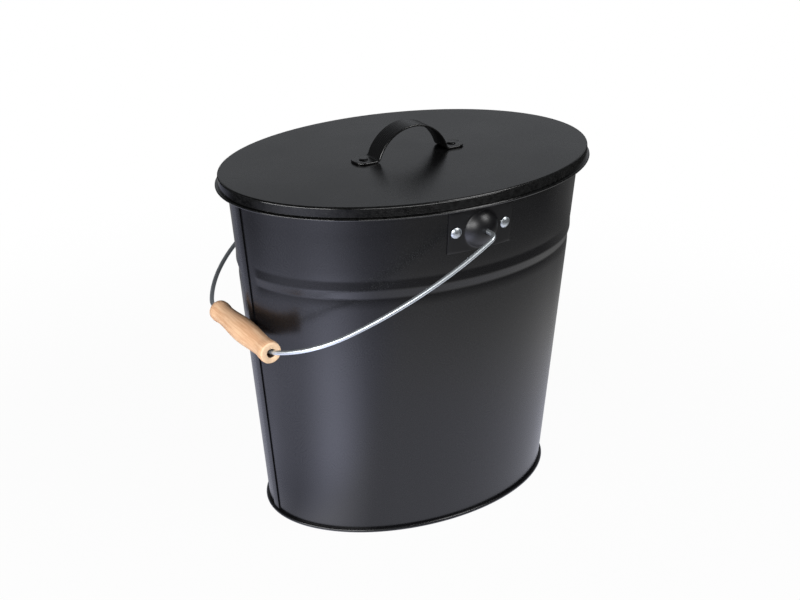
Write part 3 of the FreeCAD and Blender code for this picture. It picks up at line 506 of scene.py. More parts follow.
def coat(
        name, tint, roughness, grain_size, grain_depth, gloss=0.5, clouding=0.0, rubbed_below=None):
    """Sprayed black coat on steel. The clouding is how much its shade varies every few millimetres.

    Below the given height, the coat is rubbed smoother by hands.
    """
    if name in bpy.data.materials:
        return bpy.data.materials[name]
    material, maker = new_material(name)
    grain = maker.add("ShaderNodeGroup", {
        "Grain Size": grain_size, "Roughness": roughness, "Colour": tint, "Clouding": clouding,
    }, node_tree=coat_grain_group()).outputs
    rough = grain["Roughness"]
    if rubbed_below is not None:
        up = maker.split(maker.object_place())["Z"]
        rough = maker.times(rough, maker.eased(up, rubbed_below - RUB_RUN, rubbed_below, 0.5, 1.0))
    maker.shaded({
        "Base Color": grain["Colour"], "Roughness": rough, "Specular IOR Level": gloss,
        "Normal": maker.bump(grain["Height"], grain_depth),
    })
    return material


def wall_coat():
    look = finish()
    return coat("satin_wall_coat", look.wall_coat, look.wall_roughness, 0.0007, 0.000010)


def ear_coat():
    look = finish()
    return coat("soft_ear_coat", look.wall_coat, look.wall_roughness + 0.11, 0.0007, 0.000006)


def lid_coat():
    look = finish()
    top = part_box("lid_cover")[1][2]
    return coat(
        "grained_lid_coat", look.lid_coat, look.lid_roughness, 0.0009, 0.000003,
        clouding=3.0, rubbed_below=top - RUB_DROP)


def handle_coat():
    look = finish()
    return coat(
        "smooth_handle_coat", look.handle_coat, look.handle_roughness, 0.0012, 0.000001, gloss=0.6)


def bright_zinc(name, hammered):
    """Zinc-plated steel, clouded by the plating, and darkened in spots where it was hammered."""
    look = finish()
    material, maker = new_material(name)
    place = maker.object_place()
    cloud = maker.noise(place, 60.0, 3.0)
    dull = tuple(channel * 0.86 for channel in look.zinc)
    tint = maker.mixed(maker.mapped(cloud, 0.35, 0.7), look.zinc, dull)
    if hammered:
        spot = maker.eased(maker.noise(place, 640.0, 2.0), 0.46, 0.62, 0.0, hammered)
        tint = maker.mixed(spot, tint, (0.12, 0.13, 0.135))
    smooth, rough = look.zinc_roughness - 0.03, look.zinc_roughness + 0.05
    maker.shaded({
        "Base Color": tint, "Metallic": 0.9,
        "Roughness": maker.mapped(cloud, 0.3, 0.7, smooth, rough),
    })
    return material


def drawn_steel():
    """Bare drawn wire, closed inside the rolled rim."""
    material, maker = new_material("drawn_steel")
    cloud = maker.noise(maker.object_place(), 150.0, 3.0)
    maker.shaded({
        "Base Color": maker.mixed(cloud, (0.36, 0.36, 0.36), (0.50, 0.49, 0.47)),
        "Roughness": maker.mapped(cloud, 0.3, 0.7, 0.30, 0.48),
        "Metallic": 1.0,
    })
    return material


def beech(centre):
    """Turned beech: growth rings cut along the grain, short dark flecks, pale ends, and a bore
    painted near black as painted shade.
    """
    look = finish()
    material, maker = new_material("turned_beech")
    local = maker.moved(maker.object_place(), shift=tuple(-c for c in centre))

    def off_axis(place):
        """How far a place lies from the line along Y."""
        x, _, z = maker.split(place)
        return maker.math("SQRT", maker.total(*(maker.math("POWER", v, 2.0) for v in (x, z))))

    # The tree's heart lies well to one side of the grip, so the rings cross it as wide, wavy bands
    along = maker.moved(local, shift=(0.034, 0.0, 0.021), scale=(1.0, 0.10, 1.0))
    waver = maker.noise(along, 60.0, 3.0)
    from_heart = maker.math("MULTIPLY_ADD", waver, 0.006, off_axis(along))
    rings = maker.math("POWER", maker.math("FRACT", maker.times(from_heart, 330.0)), 2.2)

    streak = maker.moved(local, scale=(1.0, 0.06, 1.0))
    fibre = maker.noise(streak, 1100.0, 4.0, 0.6)
    broad = maker.noise(streak, 300.0, 2.0)
    fleck = maker.add("ShaderNodeTexVoronoi", {
        "Vector": maker.moved(local, scale=(1.0, 0.20, 1.0)), "Scale": 520.0, "Randomness": 1.0,
    })
    fleck = maker.eased(fleck.outputs["Distance"], 0.10, 0.30, 1.0, 0.0)

    half, bore = sizes().grip_length / 2, sizes().grip_bore / 2
    from_middle = maker.math("ABSOLUTE", maker.split(local)["Y"])
    end = maker.eased(from_middle, half - 0.0012, half - 0.0004)
    # Painted shade: the bore and its eased mouth are painted near black, as shade inside the hole
    painted_bore_shade = maker.eased(off_axis(local), bore + 0.0001, bore + 0.0007, 1.0, 0.0)

    dark = maker.total(
        maker.times(rings, 0.36), maker.times(fleck, 0.30),
        maker.mapped(fibre, 0.35, 0.75, 0.0, 0.40), maker.mapped(broad, 0.43, 0.60, -0.05, 0.60))
    dark = maker.times(maker.math("MINIMUM", dark, 1.0), maker.mapped(end, 0.0, 1.0, 1.0, 0.35))
    tint = maker.mixed(dark, look.beech_light, look.beech_dark)
    tint = maker.mixed(maker.times(end, 0.55), tint, (0.92, 0.70, 0.48))
    maker.shaded({
        "Base Color": maker.mixed(painted_bore_shade, tint, (0.03, 0.014, 0.008)),
        "Roughness": maker.mapped(fibre, 0.3, 0.7, 0.48, 0.62),
        "Specular IOR Level": 0.35,
        "Normal": maker.bump(maker.math("SUBTRACT", fibre, maker.times(fleck, 0.6)), 0.00004),
    })
    return material


# Making pieces

def new_object(name, data):
    piece = bpy.data.objects.new(name, data)
    bpy.context.scene.collection.objects.link(piece)
    return piece


def line_mesh(name, points):
    mesh = bpy.data.meshes.new(name)
    mesh.from_pydata(points, [(i, i + 1) for i in range(len(points) - 1)], [])
    return mesh


def profile_mesh(name, rows):
    """Line of points for the oval sheet: rows of (out, up), with reach and press if they differ."""
    rows = [(*row, 1.0, 0.0)[:4] for row in rows]
    mesh = line_mesh(name, [(out, 0.0, up) for out, up, _, _ in rows])
    for attribute, column in (("reach", 2), ("press", 3)):
        layer = mesh.attributes.new(attribute, "FLOAT", "POINT")
        layer.data.foreach_set("value", [row[column] for row in rows])
    return mesh


def made_plain(source):
    """The mesh of an object with its modifiers applied, in place of the object."""
    depsgraph = bpy.context.evaluated_depsgraph_get()
    mesh = bpy.data.meshes.new_from_object(
        source.evaluated_get(depsgraph), preserve_all_data_layers=True, depsgraph=depsgraph)
    bpy.data.objects.remove(source)
    return mesh


def grown(name, mesh, tree, **inputs):
    """Plain mesh that a geometry tree makes from a mesh."""
    source = new_object(name + "_source", mesh)
    modifier = source.modifiers.new("Shape", "NODES")
    modifier.node_group = tree
    identifiers = {
        item.name: item.identifier
        for item in tree.interface.items_tree
        if item.item_type == "SOCKET" and item.in_out == "INPUT"
    }
    for socket_name, value in inputs.items():
        modifier[identifiers[socket_name.replace("_", " ")]] = value
    return made_plain(source)


def mesh_of(shape, name):
    """Mesh of a shape that is no longer needed."""
    mesh = bpy.data.meshes.new(name)
    shape.to_mesh(mesh)
    shape.free()
    return mesh


def skin(sections):
    """Open skin over a row of closed sections, each a list of points: its shape and vertices."""
    shape = bmesh.new()
    bands = [[shape.verts.new(point) for point in section] for section in sections]
    for band, after in zip(bands, bands[1:]):
        for i in range(len(band)):
            j = (i + 1) % len(band)
            shape.faces.new((band[i], band[j], after[j], after[i]))
    return shape, bands


def lofted(name, sections):
    """Skin that is closed at both ends."""
    shape, bands = skin(sections)
    shape.faces.new(bands[0])
    shape.faces.new(bands[-1])
    bmesh.ops.recalc_face_normals(shape, faces=shape.faces)
    return mesh_of(shape, name)


def finished_piece(name, mesh, material, body, nodes, sharp=50.0):
    """Shade a mesh and set it in the frame as a piece that stands for CAD nodes."""
    shape = bmesh.new()
    shape.from_mesh(mesh)
    if shape.calc_volume(signed=True) < 0:
        bmesh.ops.reverse_faces(shape, faces=shape.faces)
    shape.to_mesh(mesh)
    shape.free()
    mesh.materials.clear()
    mesh.materials.append(material)
    mesh.name = name
    mesh.shade_smooth()
    mesh.set_sharp_from_angle(angle=math.radians(sharp))
    piece = new_object(name, mesh)
    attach(piece, body)
    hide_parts(*nodes)


def parts(count):
    """Shares from 0 to 1, in equal steps."""
    return [step / count for step in range(count + 1)]


def between(start, end, part):
    return start + (end - start) * part


def roll(out, up, radius, start, end, steps):
    """Points (out, up) along a rolled edge, from one angle to another in degrees."""
    turns = [math.radians(between(start, end, part)) for part in parts(steps)]
    return [(out + radius * math.cos(turn), up + radius * math.sin(turn)) for turn in turns]


def flare():
    """How far each half of the wall leans out per metre of height: along X and along Y."""
    s = sizes()
    return [(mouth - foot) / 2 / s.rim_height for foot, mouth in zip(s.foot, s.mouth)]


def wall_oval(up, out=0.0):
    """Half length and half width of the wall at a height, with an offset."""
    return [foot / 2 + lean * up + out for foot, lean in zip(sizes().foot, flare())]


def oval_y(x, oval):
    """Half width of an oval at a distance from its middle along X."""
    return oval[1] * math.sqrt(1 - (x / oval[0]) ** 2)


def on_wall(name, rows, material):
    """Sheet that follows the wall's oval and its flare."""
    s = sizes()
    lean = flare()
    stop = s.seam_width / 2 + s.rib_stop
    return grown(
        name, profile_mesh(name, rows), oval_sheet_tree(), Half_Length=s.foot[0] / 2,
        Half_Width=s.foot[1] / 2, Length_Flare=lean[0], Width_Flare=lean[1],
        Press_From=stop - PRESS_FADE, Press_To=stop + PRESS_FADE, Rounds=s.rounds,
        Material=material,
    )


def turned(name, rows, material, rounds):
    """Solid of revolution about Z: each row is (radius, up)."""
    return grown(
        name, profile_mesh(name, rows), oval_sheet_tree(), Rounds=rounds, Material=material)


def filled(out, up):
    """Rows that close a flat panel from its edge to the middle."""
    return [(out, up, reach, 0.0) for reach in (1.0, 0.96, 0.85, 0.65, 0.4, 0.2, 0.0)]


# Bucket

def rib_press(up):
    """How far out the sheet is pressed at a height: a rib between two grooves that fade away."""
    s = sizes()
    reach, depth, run = s.upper_groove if up > s.rib_level else s.lower_groove
    away = abs(up - s.rib_level)
    if away < reach:
        return s.rib_proud - (s.rib_proud + depth) * away / reach
    return -depth * (1 - min((away - reach) / run, 1.0)) ** 2


def wall_face(depth):
    """Rows up the wall and its rib, on the face that lies a depth below the outside."""
    s = sizes()
    foot = s.rib_level - s.lower_groove[0] - s.lower_groove[2] - RIB_MARGIN
    top = s.rib_level + s.upper_groove[0] + s.upper_groove[2] + RIB_MARGIN
    shifts = [shift * RIB_EASING for shift in range(-4, 5)]
    rows = [(-depth, up) for up in LOW_LEVELS]
    for part in parts(64):
        up = between(foot, top, part)
        press = sum(rib_press(up + shift) for shift in shifts) / len(shifts)
        rows.append((-depth, up, 1.0, press))
    return rows + [(-depth, up) for up in HIGH_LEVELS]


def wall_rows():
    s = sizes()
    low = (s.foot_ring_height - s.sheet) / 2
    flange_out = s.foot_ring_proud - s.sheet - PLAY
    middle = s.rim_height - s.rim_roll / 2
    bore = s.rim_roll / 2 - s.sheet
    rows = [(flange_out, low), (flange_out, low + s.sheet), (0.0, low + s.sheet)]
    rows += wall_face(0.0)
    rows += roll(bore, middle, bore, 180.0, RIM_CLOSE, 28)
    rows += roll(bore, middle, s.rim_roll / 2, RIM_CLOSE, 180.0, 36)
    rows += wall_face(s.sheet)[::-1]
    return rows + [(-s.sheet, low), rows[0]]


# Section of the seam: distance in from an edge, and the share of the seam's height
REAR_EDGE = ((0.0001, 0.25), (0.0005, 0.62), (0.0012, 0.88), (0.0022, 0.98), (0.004, 1.0))
FRONT_EDGE = (
    (0.004, 0.985), (0.0022, 0.95), (0.0010, 0.91), (0.0003, 0.85), (0.0, 0.77), (0.0001, 0.69),
    (0.0005, 0.65), (0.0026, 0.65),
)


def seam_mesh():
    """Folded side seam: a flat lap that lifts off the sheet along its front edge."""
    s = sizes()
    half, proud = s.seam_width / 2, s.seam_proud
    sunk = -0.3 * s.sheet
    section = [(half, sunk), *((half - inward, part * proud) for inward, part in REAR_EDGE)]
    section += [(0.0, proud), *((inward - half, part * proud) for inward, part in FRONT_EDGE)]
    section.append((LAP_DEPTH - half, sunk))
    low = s.foot_ring_height + PLAY
    high = s.rim_height - s.rim_roll - PLAY
    bands = []
    for part in parts(60):
        up = between(low, high, part)
        ovals = [(y, wall_oval(up, out)) for y, out in section]
        bands.append([(-a * math.sqrt(1 - (y / b) ** 2), y, up) for y, (a, b) in ovals])
    return lofted("side_seam", bands)


class ASHBUCKET_OT_wall(bpy.types.Operator):
    """Make the bucket's wall, with its pressed rib, rolled rim and folded side seam"""

    bl_idname = "ashbucket.wall"
    bl_label = "Bucket wall"

    def execute(self, context):
        material = wall_coat()
        wall = on_wall("wall_sheet", wall_rows(), material)
        finished_piece("wall_sheet", wall, material, "bucket", ["bucket_wall"])
        finished_piece(
            "side_seam", seam_mesh(), material, "bucket", ["bucket_wall"], sharp=40.0)
        return {"FINISHED"}


class ASHBUCKET_OT_base(bpy.types.Operator):
    """Make the bucket's base, folded round the wall's foot"""

    bl_idname = "ashbucket.base"
    bl_label = "Bucket base"

    def execute(self, context):
        s = sizes()
        material = wall_coat()
        out = -(s.sheet + PLAY)
        corner = (out - s.floor_round, s.floor_level - s.floor_round)
        fold_up = s.foot_ring_height / 2
        fold = (s.foot_ring_proud - fold_up, fold_up)
        rows = filled(corner[0], s.floor_level)[::-1]
        rows += roll(*corner, s.floor_round, 90.0, 0.0, 8)[1:]
        rows.append((out, s.sheet))
        rows += roll(*fold, fold_up - s.sheet, -90.0, 90.0, 16)
        rows += [(PLAY, s.foot_ring_height - s.sheet), (PLAY, s.foot_ring_height)]
        rows += roll(*fold, fold_up, 90.0, -90.0, 20)
        rows.append((out - s.sheet, 0.0))
        rows += roll(*corner, s.floor_round - s.sheet, 0.0, 90.0, 8)[:-1]
        rows += filled(corner[0], s.floor_level - s.sheet)
        base = on_wall("base_panel", rows, material)
        finished_piece("base_panel", base, material, "bucket", ["bucket_base"])
        return {"FINISHED"}


class ASHBUCKET_OT_rim_wire(bpy.types.Operator):
    """Give the wire inside the rolled rim its finish"""

    bl_idname = "ashbucket.rim_wire"
    bl_label = "Rim wire"

    def execute(self, context):
        node = frame["nodes"]["rim_wire"]
        node.data.materials.clear()
        node.data.materials.append(drawn_steel())
        return {"FINISHED"}


# Ears and their rivets

def ear_angles(half_width, half_height, count=128):
    """Angles round an ear, with one at each corner of its plate."""
    angles = [2 * math.pi * step / count for step in range(count)]
    corner = math.atan2(half_height, half_width)
    for wanted in (corner, math.pi - corner, math.pi + corner, 2 * math.pi - corner):
        nearest = min(range(count), key=lambda step: abs(angles[step] - wanted))
        angles[nearest] = wanted
    return angles


def ear_surface(x, rise):
    """How far out the ear's face stands at a place: its plate and its dome, run together."""
    s = sizes()
    plate = oval_y(x, wall_oval(EAR_AXIS.z + rise, s.ear_sheet))
    foot = s.dome_width / 2
    dome_radius = (foot ** 2 + s.dome_height ** 2) / (2 * s.dome_height)
    dome_middle = wall_oval(EAR_AXIS.z)[1] + s.dome_height - dome_radius
    dome = dome_middle + math.sqrt(max(dome_radius ** 2 - x ** 2 - rise ** 2, 0.0))
    return (plate + dome + math.sqrt((plate - dome) ** 2 + DOME_BLEND ** 2)) / 2


def ear_mesh(side):
    """Face of a front (-1) or rear (1) ear, from the wire's hole out to the plate's edge."""
    s = sizes()
    half_width, half_height = s.ear_width / 2, s.ear_height / 2
    foot = s.dome_width / 2
    hole = s.wire / 2 + s.wire_play
    angles = ear_angles(half_width, half_height)
    edge = [
        1 / max(abs(math.cos(turn)) / half_width, abs(math.sin(turn)) / half_height)
        for turn in angles
    ]
    radii = [between(hole, foot - 5 * DOME_STEP, part) for part in parts(14)]
    radii += [foot + step * DOME_STEP for step in range(-4, 5)]
    loops = [[radius] * len(angles) for radius in radii]
    loops += [[between(radii[-1], far, part) for far in edge] for part in parts(4)[1:]]

    def point(radius, turn):
        x, rise = radius * math.cos(turn), radius * math.sin(turn)
        return x, side * ear_surface(x, rise), EAR_AXIS.z + rise

    shape, _ = skin([[point(*pair) for pair in zip(loop, angles)] for loop in loops])
    if side < 0:
        bmesh.ops.reverse_faces(shape, faces=shape.faces)
    return mesh_of(shape, "ear")


class ASHBUCKET_OT_ears(bpy.types.Operator):
    """Make the two ears: a plate with a hollow dome that the bail turns in"""

    bl_idname = "ashbucket.ears"
    bl_label = "Ears"

    def execute(self, context):
        material = ear_coat()
        for node, side in (("front_ear", -1), ("rear_ear", 1)):
            source = new_object(node + "_source", ear_mesh(side))
            shell = source.modifiers.new("Sheet", "SOLIDIFY")
            shell.thickness = sizes().ear_sheet - EAR_TRIM
            shell.offset = -1.0
            eased = source.modifiers.new("Eased edges", "BEVEL")
            eased.width = EAR_EDGE
            eased.segments = 3
            eased.limit_method = "ANGLE"
            eased.angle_limit = math.radians(50.0)
            finished_piece(
                node + "_pressing", made_plain(source), material, "bucket", [node],
                sharp=45.0)
        return {"FINISHED"}


def rivet_tail(shank, tail, height, ease, held):
    """Rows of a rivet below its head: the shank through what it holds, and the set tail."""
    low = -held - height
    return [
        (shank, 0.0), (shank, -held), (tail, -held), (tail, low + ease), (tail - ease, low),
        (0.0, low),
    ]


def rivet_set(name, places, rows, material, body, nodes):
    """Set a rivet at each place, given with the way that the rivet faces."""
    mesh = bpy.data.meshes.new(name)
    mesh.from_pydata([place for place, _ in places], [], [])
    facing = mesh.attributes.new("facing", "FLOAT_VECTOR", "POINT")
    facing.data.foreach_set("vector", [value for _, way in places for value in way])
    profile = new_object(name + "_profile", profile_mesh(name + "_profile", rows))
    mesh = grown(name, mesh, rivet_set_tree(), Profile=profile, Rounds=48, Material=material)
    bpy.data.objects.remove(profile)
    finished_piece(name, mesh, material, body, nodes, sharp=45.0)


def ear_rivet_places():
    """Where the ear rivets' heads sit on the plates, square to the wall."""
    s = sizes()
    a, b = wall_oval(EAR_AXIS.z)
    lean = flare()
    places = []
    for side in (-1, 1):
        for end in (-1, 1):
            x = end * s.rivet_out
            y = side * oval_y(x, (a, b))
            fall = x * x * lean[0] / a ** 3 + y * y * lean[1] / b ** 3
            way = Vector((x / a ** 2, y / b ** 2, -fall)).normalized()
            places.append((Vector((x, y, EAR_AXIS.z)) + way * (s.ear_sheet + SEAT_GAP), way))
    return places


class ASHBUCKET_OT_ear_rivets(bpy.types.Operator):
    """Set a bright domed rivet at each end of each ear"""

    bl_idname = "ashbucket.ear_rivets"
    bl_label = "Ear rivets"

    def execute(self, context):
        s = sizes()
        head, height = s.rivet_head / 2, s.rivet_head_height
        dome = (head ** 2 + height ** 2) / (2 * height)
        lowest = math.degrees(math.asin((dome - height) / dome))
        rows = roll(0.0, height - dome, dome, 90.0, lowest + 2.0, 12)
        rows += [(head, 0.00025), (head - 0.0002, 0.0)]
        rows += rivet_tail(0.0025, 0.004, 0.0016, 0.0003, s.sheet + s.ear_sheet + PLAY)
        nodes = [
            "%s_ear_rivet_%s" % (side, end)
            for side in ("front", "rear") for end in ("left", "right")
        ]
        material = bright_zinc("hammered_zinc", 0.3)
        rivet_set("ear_rivets", ear_rivet_places(), rows, material, "bucket", nodes)
        return {"FINISHED"}


# Bail and grip

def bail_head_back():
    """Where the wire's end lies inside the ear's dome, out from the middle."""
    return wall_oval(EAR_AXIS.z)[1] + HEAD_DEPTH


def bail_half():
    """Half of the bail's middle line, from the grip's middle to its head.

    Each point is (out along the grip, out from the ears).
    """
    s = sizes()
    reach = (GRIP_AXIS - EAR_AXIS).length
    arm_out = wall_oval(EAR_AXIS.z)[1] + s.dome_height + s.bail_stand_off
    first = 90.0 - GRIP_TURN
    second = first - BOW_TURN
    first_way, second_way = (Vector(way) for way in roll(0.0, 0.0, 1.0, first, second, 1))
    grip_middle = Vector((s.grip_length / 2, reach - s.grip_bend))
    bow_middle = grip_middle + first_way * (s.grip_bend - s.bow_bend)
    bow_end = bow_middle + second_way * s.bow_bend
    ear_middle = Vector((arm_out - s.ear_bend, s.ear_bend))

    # The arm is the arc that leaves the bow and meets the bend at the ear without a kink
    gap = bow_end - ear_middle
    arm_radius = (gap.length_squared - s.ear_bend ** 2) / (2 * (gap.dot(second_way) - s.ear_bend))
    arm_middle = bow_end - second_way * arm_radius
    arm_way = ear_middle - arm_middle
    arm_end = math.degrees(math.atan2(arm_way.y, arm_way.x))

    points = [(s.grip_length / 2 * part, reach) for part in parts(6)[:-1]]
    points += roll(*grip_middle, s.grip_bend, 90.0, first, 14)
    points += roll(*bow_middle, s.bow_bend, first, second, 20)[1:]
    points += roll(*arm_middle, arm_radius, second, arm_end, 28)[1:]
    points += roll(*ear_middle, s.ear_bend, arm_end, -90.0, 18)[1:]
    return points + [(bail_head_back(), 0.0)]


class ASHBUCKET_OT_bail(bpy.types.Operator):
    """Bend the bail from one wire, with a head upset on each end inside the ears"""

    bl_idname = "ashbucket.bail"
    bl_label = "Bail"

    def execute(self, context):
        material = bright_zinc("drawn_zinc", 0.0)
        half = bail_half()
        outward = (GRIP_AXIS - EAR_AXIS).normalized()
        line = [(-along, out) for along, out in half[:0:-1]] + half
        path = [EAR_AXIS + Vector((0.0, along, 0.0)) + outward * out for along, out in line]
        wire = grown(
            "bail", line_mesh("bail_path", path), bent_wire_tree(),
            Thickness=sizes().wire - WIRE_TRIM, Sides=40, Material=material)
        head, high, ease = 0.0042, 0.0025, 0.0004
        rows = [(0.0, 0.0), (head - ease, 0.0), (head, ease)]
        rows += [(radius, high - up) for radius, up in rows[::-1]]
        shape = bmesh.new()
        shape.from_mesh(wire)
        for side in (-1, 1):
            mesh = turned("bail_head", rows, material, rounds=40)
            seat = EAR_AXIS + Vector((0.0, side * bail_head_back(), 0.0))
            mesh.transform(Matrix.Rotation(math.radians(-90.0 * side), 4, "X"))
            mesh.transform(Matrix.Translation(seat))
            shape.from_mesh(mesh)
        bail = mesh_of(shape, "bail")
        finished_piece("bail", bail, material, "bail", ["bail_wire"])
        return {"FINISHED"}


def swung(start, end, steps):
    """Rows of a turned outline that swing gently from one (radius, up) to another."""
    rows = []
    for part in parts(steps):
        swing = (1 - math.cos(math.pi * part)) / 2
        rows.append((between(start[0], end[0], swing), between(start[1], end[1], part)))
    return rows


class ASHBUCKET_OT_grip(bpy.types.Operator):
    """Turn the wooden grip, with its swelling, necks, rounded ends and bore"""

    bl_idname = "ashbucket.grip"
    bl_label = "Wooden grip"

    def execute(self, context):
        s = sizes()
        low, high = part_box("wooden_grip")
        centre = (Vector(low) + Vector(high)) / 2
        half, bore = s.grip_length / 2, s.grip_bore / 2
        middle = (s.grip_middle / 2 - GRIP_TRIM, 0.0)
        neck = (s.grip_neck / 2, half - NECK_IN)
        end = (s.grip_end / 2, half - END_IN)
        upper = swung(middle, neck, 24) + swung(neck, end, 12)[1:]
        edge = (end[0] - 0.0002 - GRIP_EDGE, half - GRIP_EDGE)
        upper += roll(*edge, GRIP_EDGE, 20.0, 90.0, 8)
        upper += [(bore + BORE_EDGE, half), (bore, half - BORE_EDGE)]
        rows = [(radius, -up) for radius, up in upper[:0:-1]] + upper
        rows.append(rows[0])
        material = beech(centre)
        mesh = turned("grip", rows, material, rounds=96)
        mesh.transform(Matrix.Rotation(math.radians(90.0), 4, "X"))
        mesh.transform(Matrix.Translation(centre))
        finished_piece("grip", mesh, material, "grip", ["wooden_grip"])
        return {"FINISHED"}


# Lid

class ASHBUCKET_OT_lid(bpy.types.Operator):
    """Press the lid's cover, with its rounded edge, skirt and rolled lip"""

    bl_idname = "ashbucket.lid"
    bl_label = "Lid cover"

    def execute(self, context):
        s = sizes()
        material = lid_coat()
        low, high = (Vector(corner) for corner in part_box("lid_cover"))
        top, bottom = high.z, low.z
        edge = (-s.lid_edge, top - s.lid_edge)
        lip = s.lip_height / 2
        lip_top = bottom + lip + lip
        rows = filled(edge[0] - LID_MARGIN, top)[::-1]
        rows += roll(*edge, s.lid_edge, 90.0, 0.0, 10)
        rows += [(0.0, edge[1] - SKIRT_EASE), (0.0, lip_top + SKIRT_EASE), (0.0, lip_top)]
        rows += roll(s.lip_proud - lip, bottom + lip, lip, 90.0, -90.0, 18)
        rows += [(-s.sheet + LIP_EASE, bottom), (-s.sheet, bottom + LIP_EASE)]
        rows += roll(*edge, s.lid_edge - s.sheet, 0.0, 90.0, 8)
        rows += filled(edge[0] - LID_MARGIN, top - s.sheet)
        mesh = grown(
            "lid_pressing", profile_mesh("lid_pressing", rows), oval_sheet_tree(),
            Half_Length=high.x - s.lip_proud, Half_Width=high.y - s.lip_proud, Rounds=s.rounds,
            Material=material,
        )
        finished_piece("lid_pressing", mesh, material, "lid", ["lid_cover"])
        return {"FINISHED"}


def handle_line():
    """Middle line of half of the lid's handle, from its top to its foot's tip.

    Each point is (x, up, the way out of the strip).
    """
    s = sizes()
    low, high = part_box("lid_handle")
    tip = high[0]
    arch = s.handle_arch - s.handle_sheet / 2
    bend = s.handle_bend
    middle_up = high[2] - s.handle_sheet / 2 - arch
    bend_up = low[2] + s.handle_sheet / 2 + bend
    foot = math.sqrt((arch + bend) ** 2 - (bend_up - middle_up) ** 2)
    meet = math.degrees(math.atan2(bend_up - middle_up, foot))
    line = [
        (arch * x, middle_up + arch * up, (x, up))
        for x, up in roll(0.0, 0.0, 1.0, 90.0, meet, 36)
    ]
    line += [
        (foot + bend * x, bend_up + bend * up, (-x, -up))
        for x, up in roll(0.0, 0.0, 1.0, meet + 180.0, 270.0, 10)[1:]
    ]
    for part in parts(28)[1:]:
        line.append((between(foot, tip, 1 - (1 - part) ** 1.6), bend_up - bend, (0.0, 1.0)))
    return line


def handle_section(width):
    """Section of the strip: (across, out), with rounded edges and flutes along its outer face."""
    s = sizes()
    half, thick, corner = width / 2, s.handle_sheet / 2, STRIP_CORNER
    section = []
    for part in parts(8 * s.handle_flutes):
        flute = 0.5 - 0.5 * math.cos(2 * math.pi * s.handle_flutes * part)
        section.append((between(corner - half, half - corner, part), thick - FLUTE_DEPTH * flute))
    cut = 0.3 * corner
    lower = [(half, corner - thick), (half - cut, cut - thick), (half - corner, -thick)]
    section += roll(half - corner, thick - corner, corner, 67.5, 0.0, 3)
    section += lower + [(-across, out) for across, out in lower[::-1]]
    return section + roll(corner - half, thick - corner, corner, 180.0, 112.5, 3)


class ASHBUCKET_OT_lid_handle(bpy.types.Operator):
    """Bend the lid's handle from a fluted strip with rounded feet"""

    bl_idname = "ashbucket.lid_handle"
    bl_label = "Lid handle"

    def execute(self, context):
        half_line = handle_line()
        tip = half_line[-1][0]
        line = [(-x, up, (-way[0], way[1])) for x, up, way in half_line[:0:-1]] + half_line
        bands = []
        for x, up, way in line:
            into = max(0.0, FOOT_CORNER - (tip - abs(x)))
            cut = FOOT_CORNER - math.sqrt(max(FOOT_CORNER ** 2 - into ** 2, 0.0))
            bands.append([
                (x + way[0] * out, across, up + way[1] * out)
                for across, out in handle_section(sizes().handle_width - 2 * cut)
            ])
        finished_piece(
            "handle_strip", lofted("handle_strip", bands), handle_coat(), "lid", ["lid_handle"],
            sharp=60.0)
        return {"FINISHED"}


class ASHBUCKET_OT_lid_rivets(bpy.types.Operator):
    """Set a flat-headed black rivet in each foot of the lid's handle"""

    bl_idname = "ashbucket.lid_rivets"
    bl_label = "Lid rivets"

    def execute(self, context):
        s = sizes()
        head = s.lid_rivet_head / 2
        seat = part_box("lid_cover")[1][2] + s.handle_sheet + SEAT_GAP
        rows = [
            (0.0, 0.0012), (0.0020, 0.00117), (0.0031, 0.00108), (0.0036, 0.00095),
            (0.0039, 0.0007), (head, 0.00035), (head - 0.00005, 0.0001), (head - 0.0002, 0.0),
        ]
        rows += rivet_tail(0.002, 0.00325, 0.0012, 0.0002, s.handle_sheet + s.sheet + PLAY)
        up = Vector((0.0, 0.0, 1.0))
        places = [(Vector((end * s.lid_rivet_place, 0.0, seat)), up) for end in (-1, 1)]
        nodes = ["lid_rivet_left", "lid_rivet_right"]
        rivet_set("lid_rivets", places, rows, handle_coat(), "lid", nodes)
        return {"FINISHED"}


# Stage

# Each softbox: its place, what it points at, its size, its watts, and its flag, which keeps its
# light off one piece or lets it fall on one piece only
SOFTBOXES = {
    "front_softbox": (
        (-0.96, -1.14, 0.87), (0.0, 0.0, 0.3), (0.6, 0.6), 12.0, ("EXCLUDE", "lid_pressing")),
    "left_softbox": (
        (-1.35, -0.40, 0.62), (0.0, 0.0, 0.25), (1.0, 0.3), 13.0, ("EXCLUDE", "lid_pressing")),
    "left_skirt_softbox": (
        (-1.37, -0.55, 0.17), (0.0, 0.0, 0.33), (1.4, 0.26), 16.0, ("INCLUDE", "lid_pressing")),
    "right_skirt_softbox": (
        (0.10, -1.45, 0.17), (0.0, 0.0, 0.33), (1.8, 0.26), 12.0, ("INCLUDE", "lid_pressing")),
    "bail_softbox": ((0.15, -1.45, 0.93), (0.0, -0.13, 0.3), (1.1, 1.1), 4.0, ("INCLUDE", "bail")),
    "right_softbox": ((0.68, -0.90, 1.28), (0.0, 0.0, 0.3), (0.6, 0.6), 10.0, None),
}


def hang_softbox(name, place, target, size, watts, flag):
    light = bpy.data.lights.new(name, "AREA")
    light.shape = "RECTANGLE"
    light.size, light.size_y = size
    light.energy = watts
    lamp = new_object(name, light)
    lamp.location = place
    lamp.rotation_euler = (Vector(target) - Vector(place)).to_track_quat("-Z", "Y").to_euler()
    if flag:
        state, piece = flag
        flagged = bpy.data.collections.new(name + "_flag")
        flagged.objects.link(bpy.data.objects[piece])
        flagged.collection_objects[0].light_linking.link_state = state
        lamp.light_linking.receiver_collection = flagged


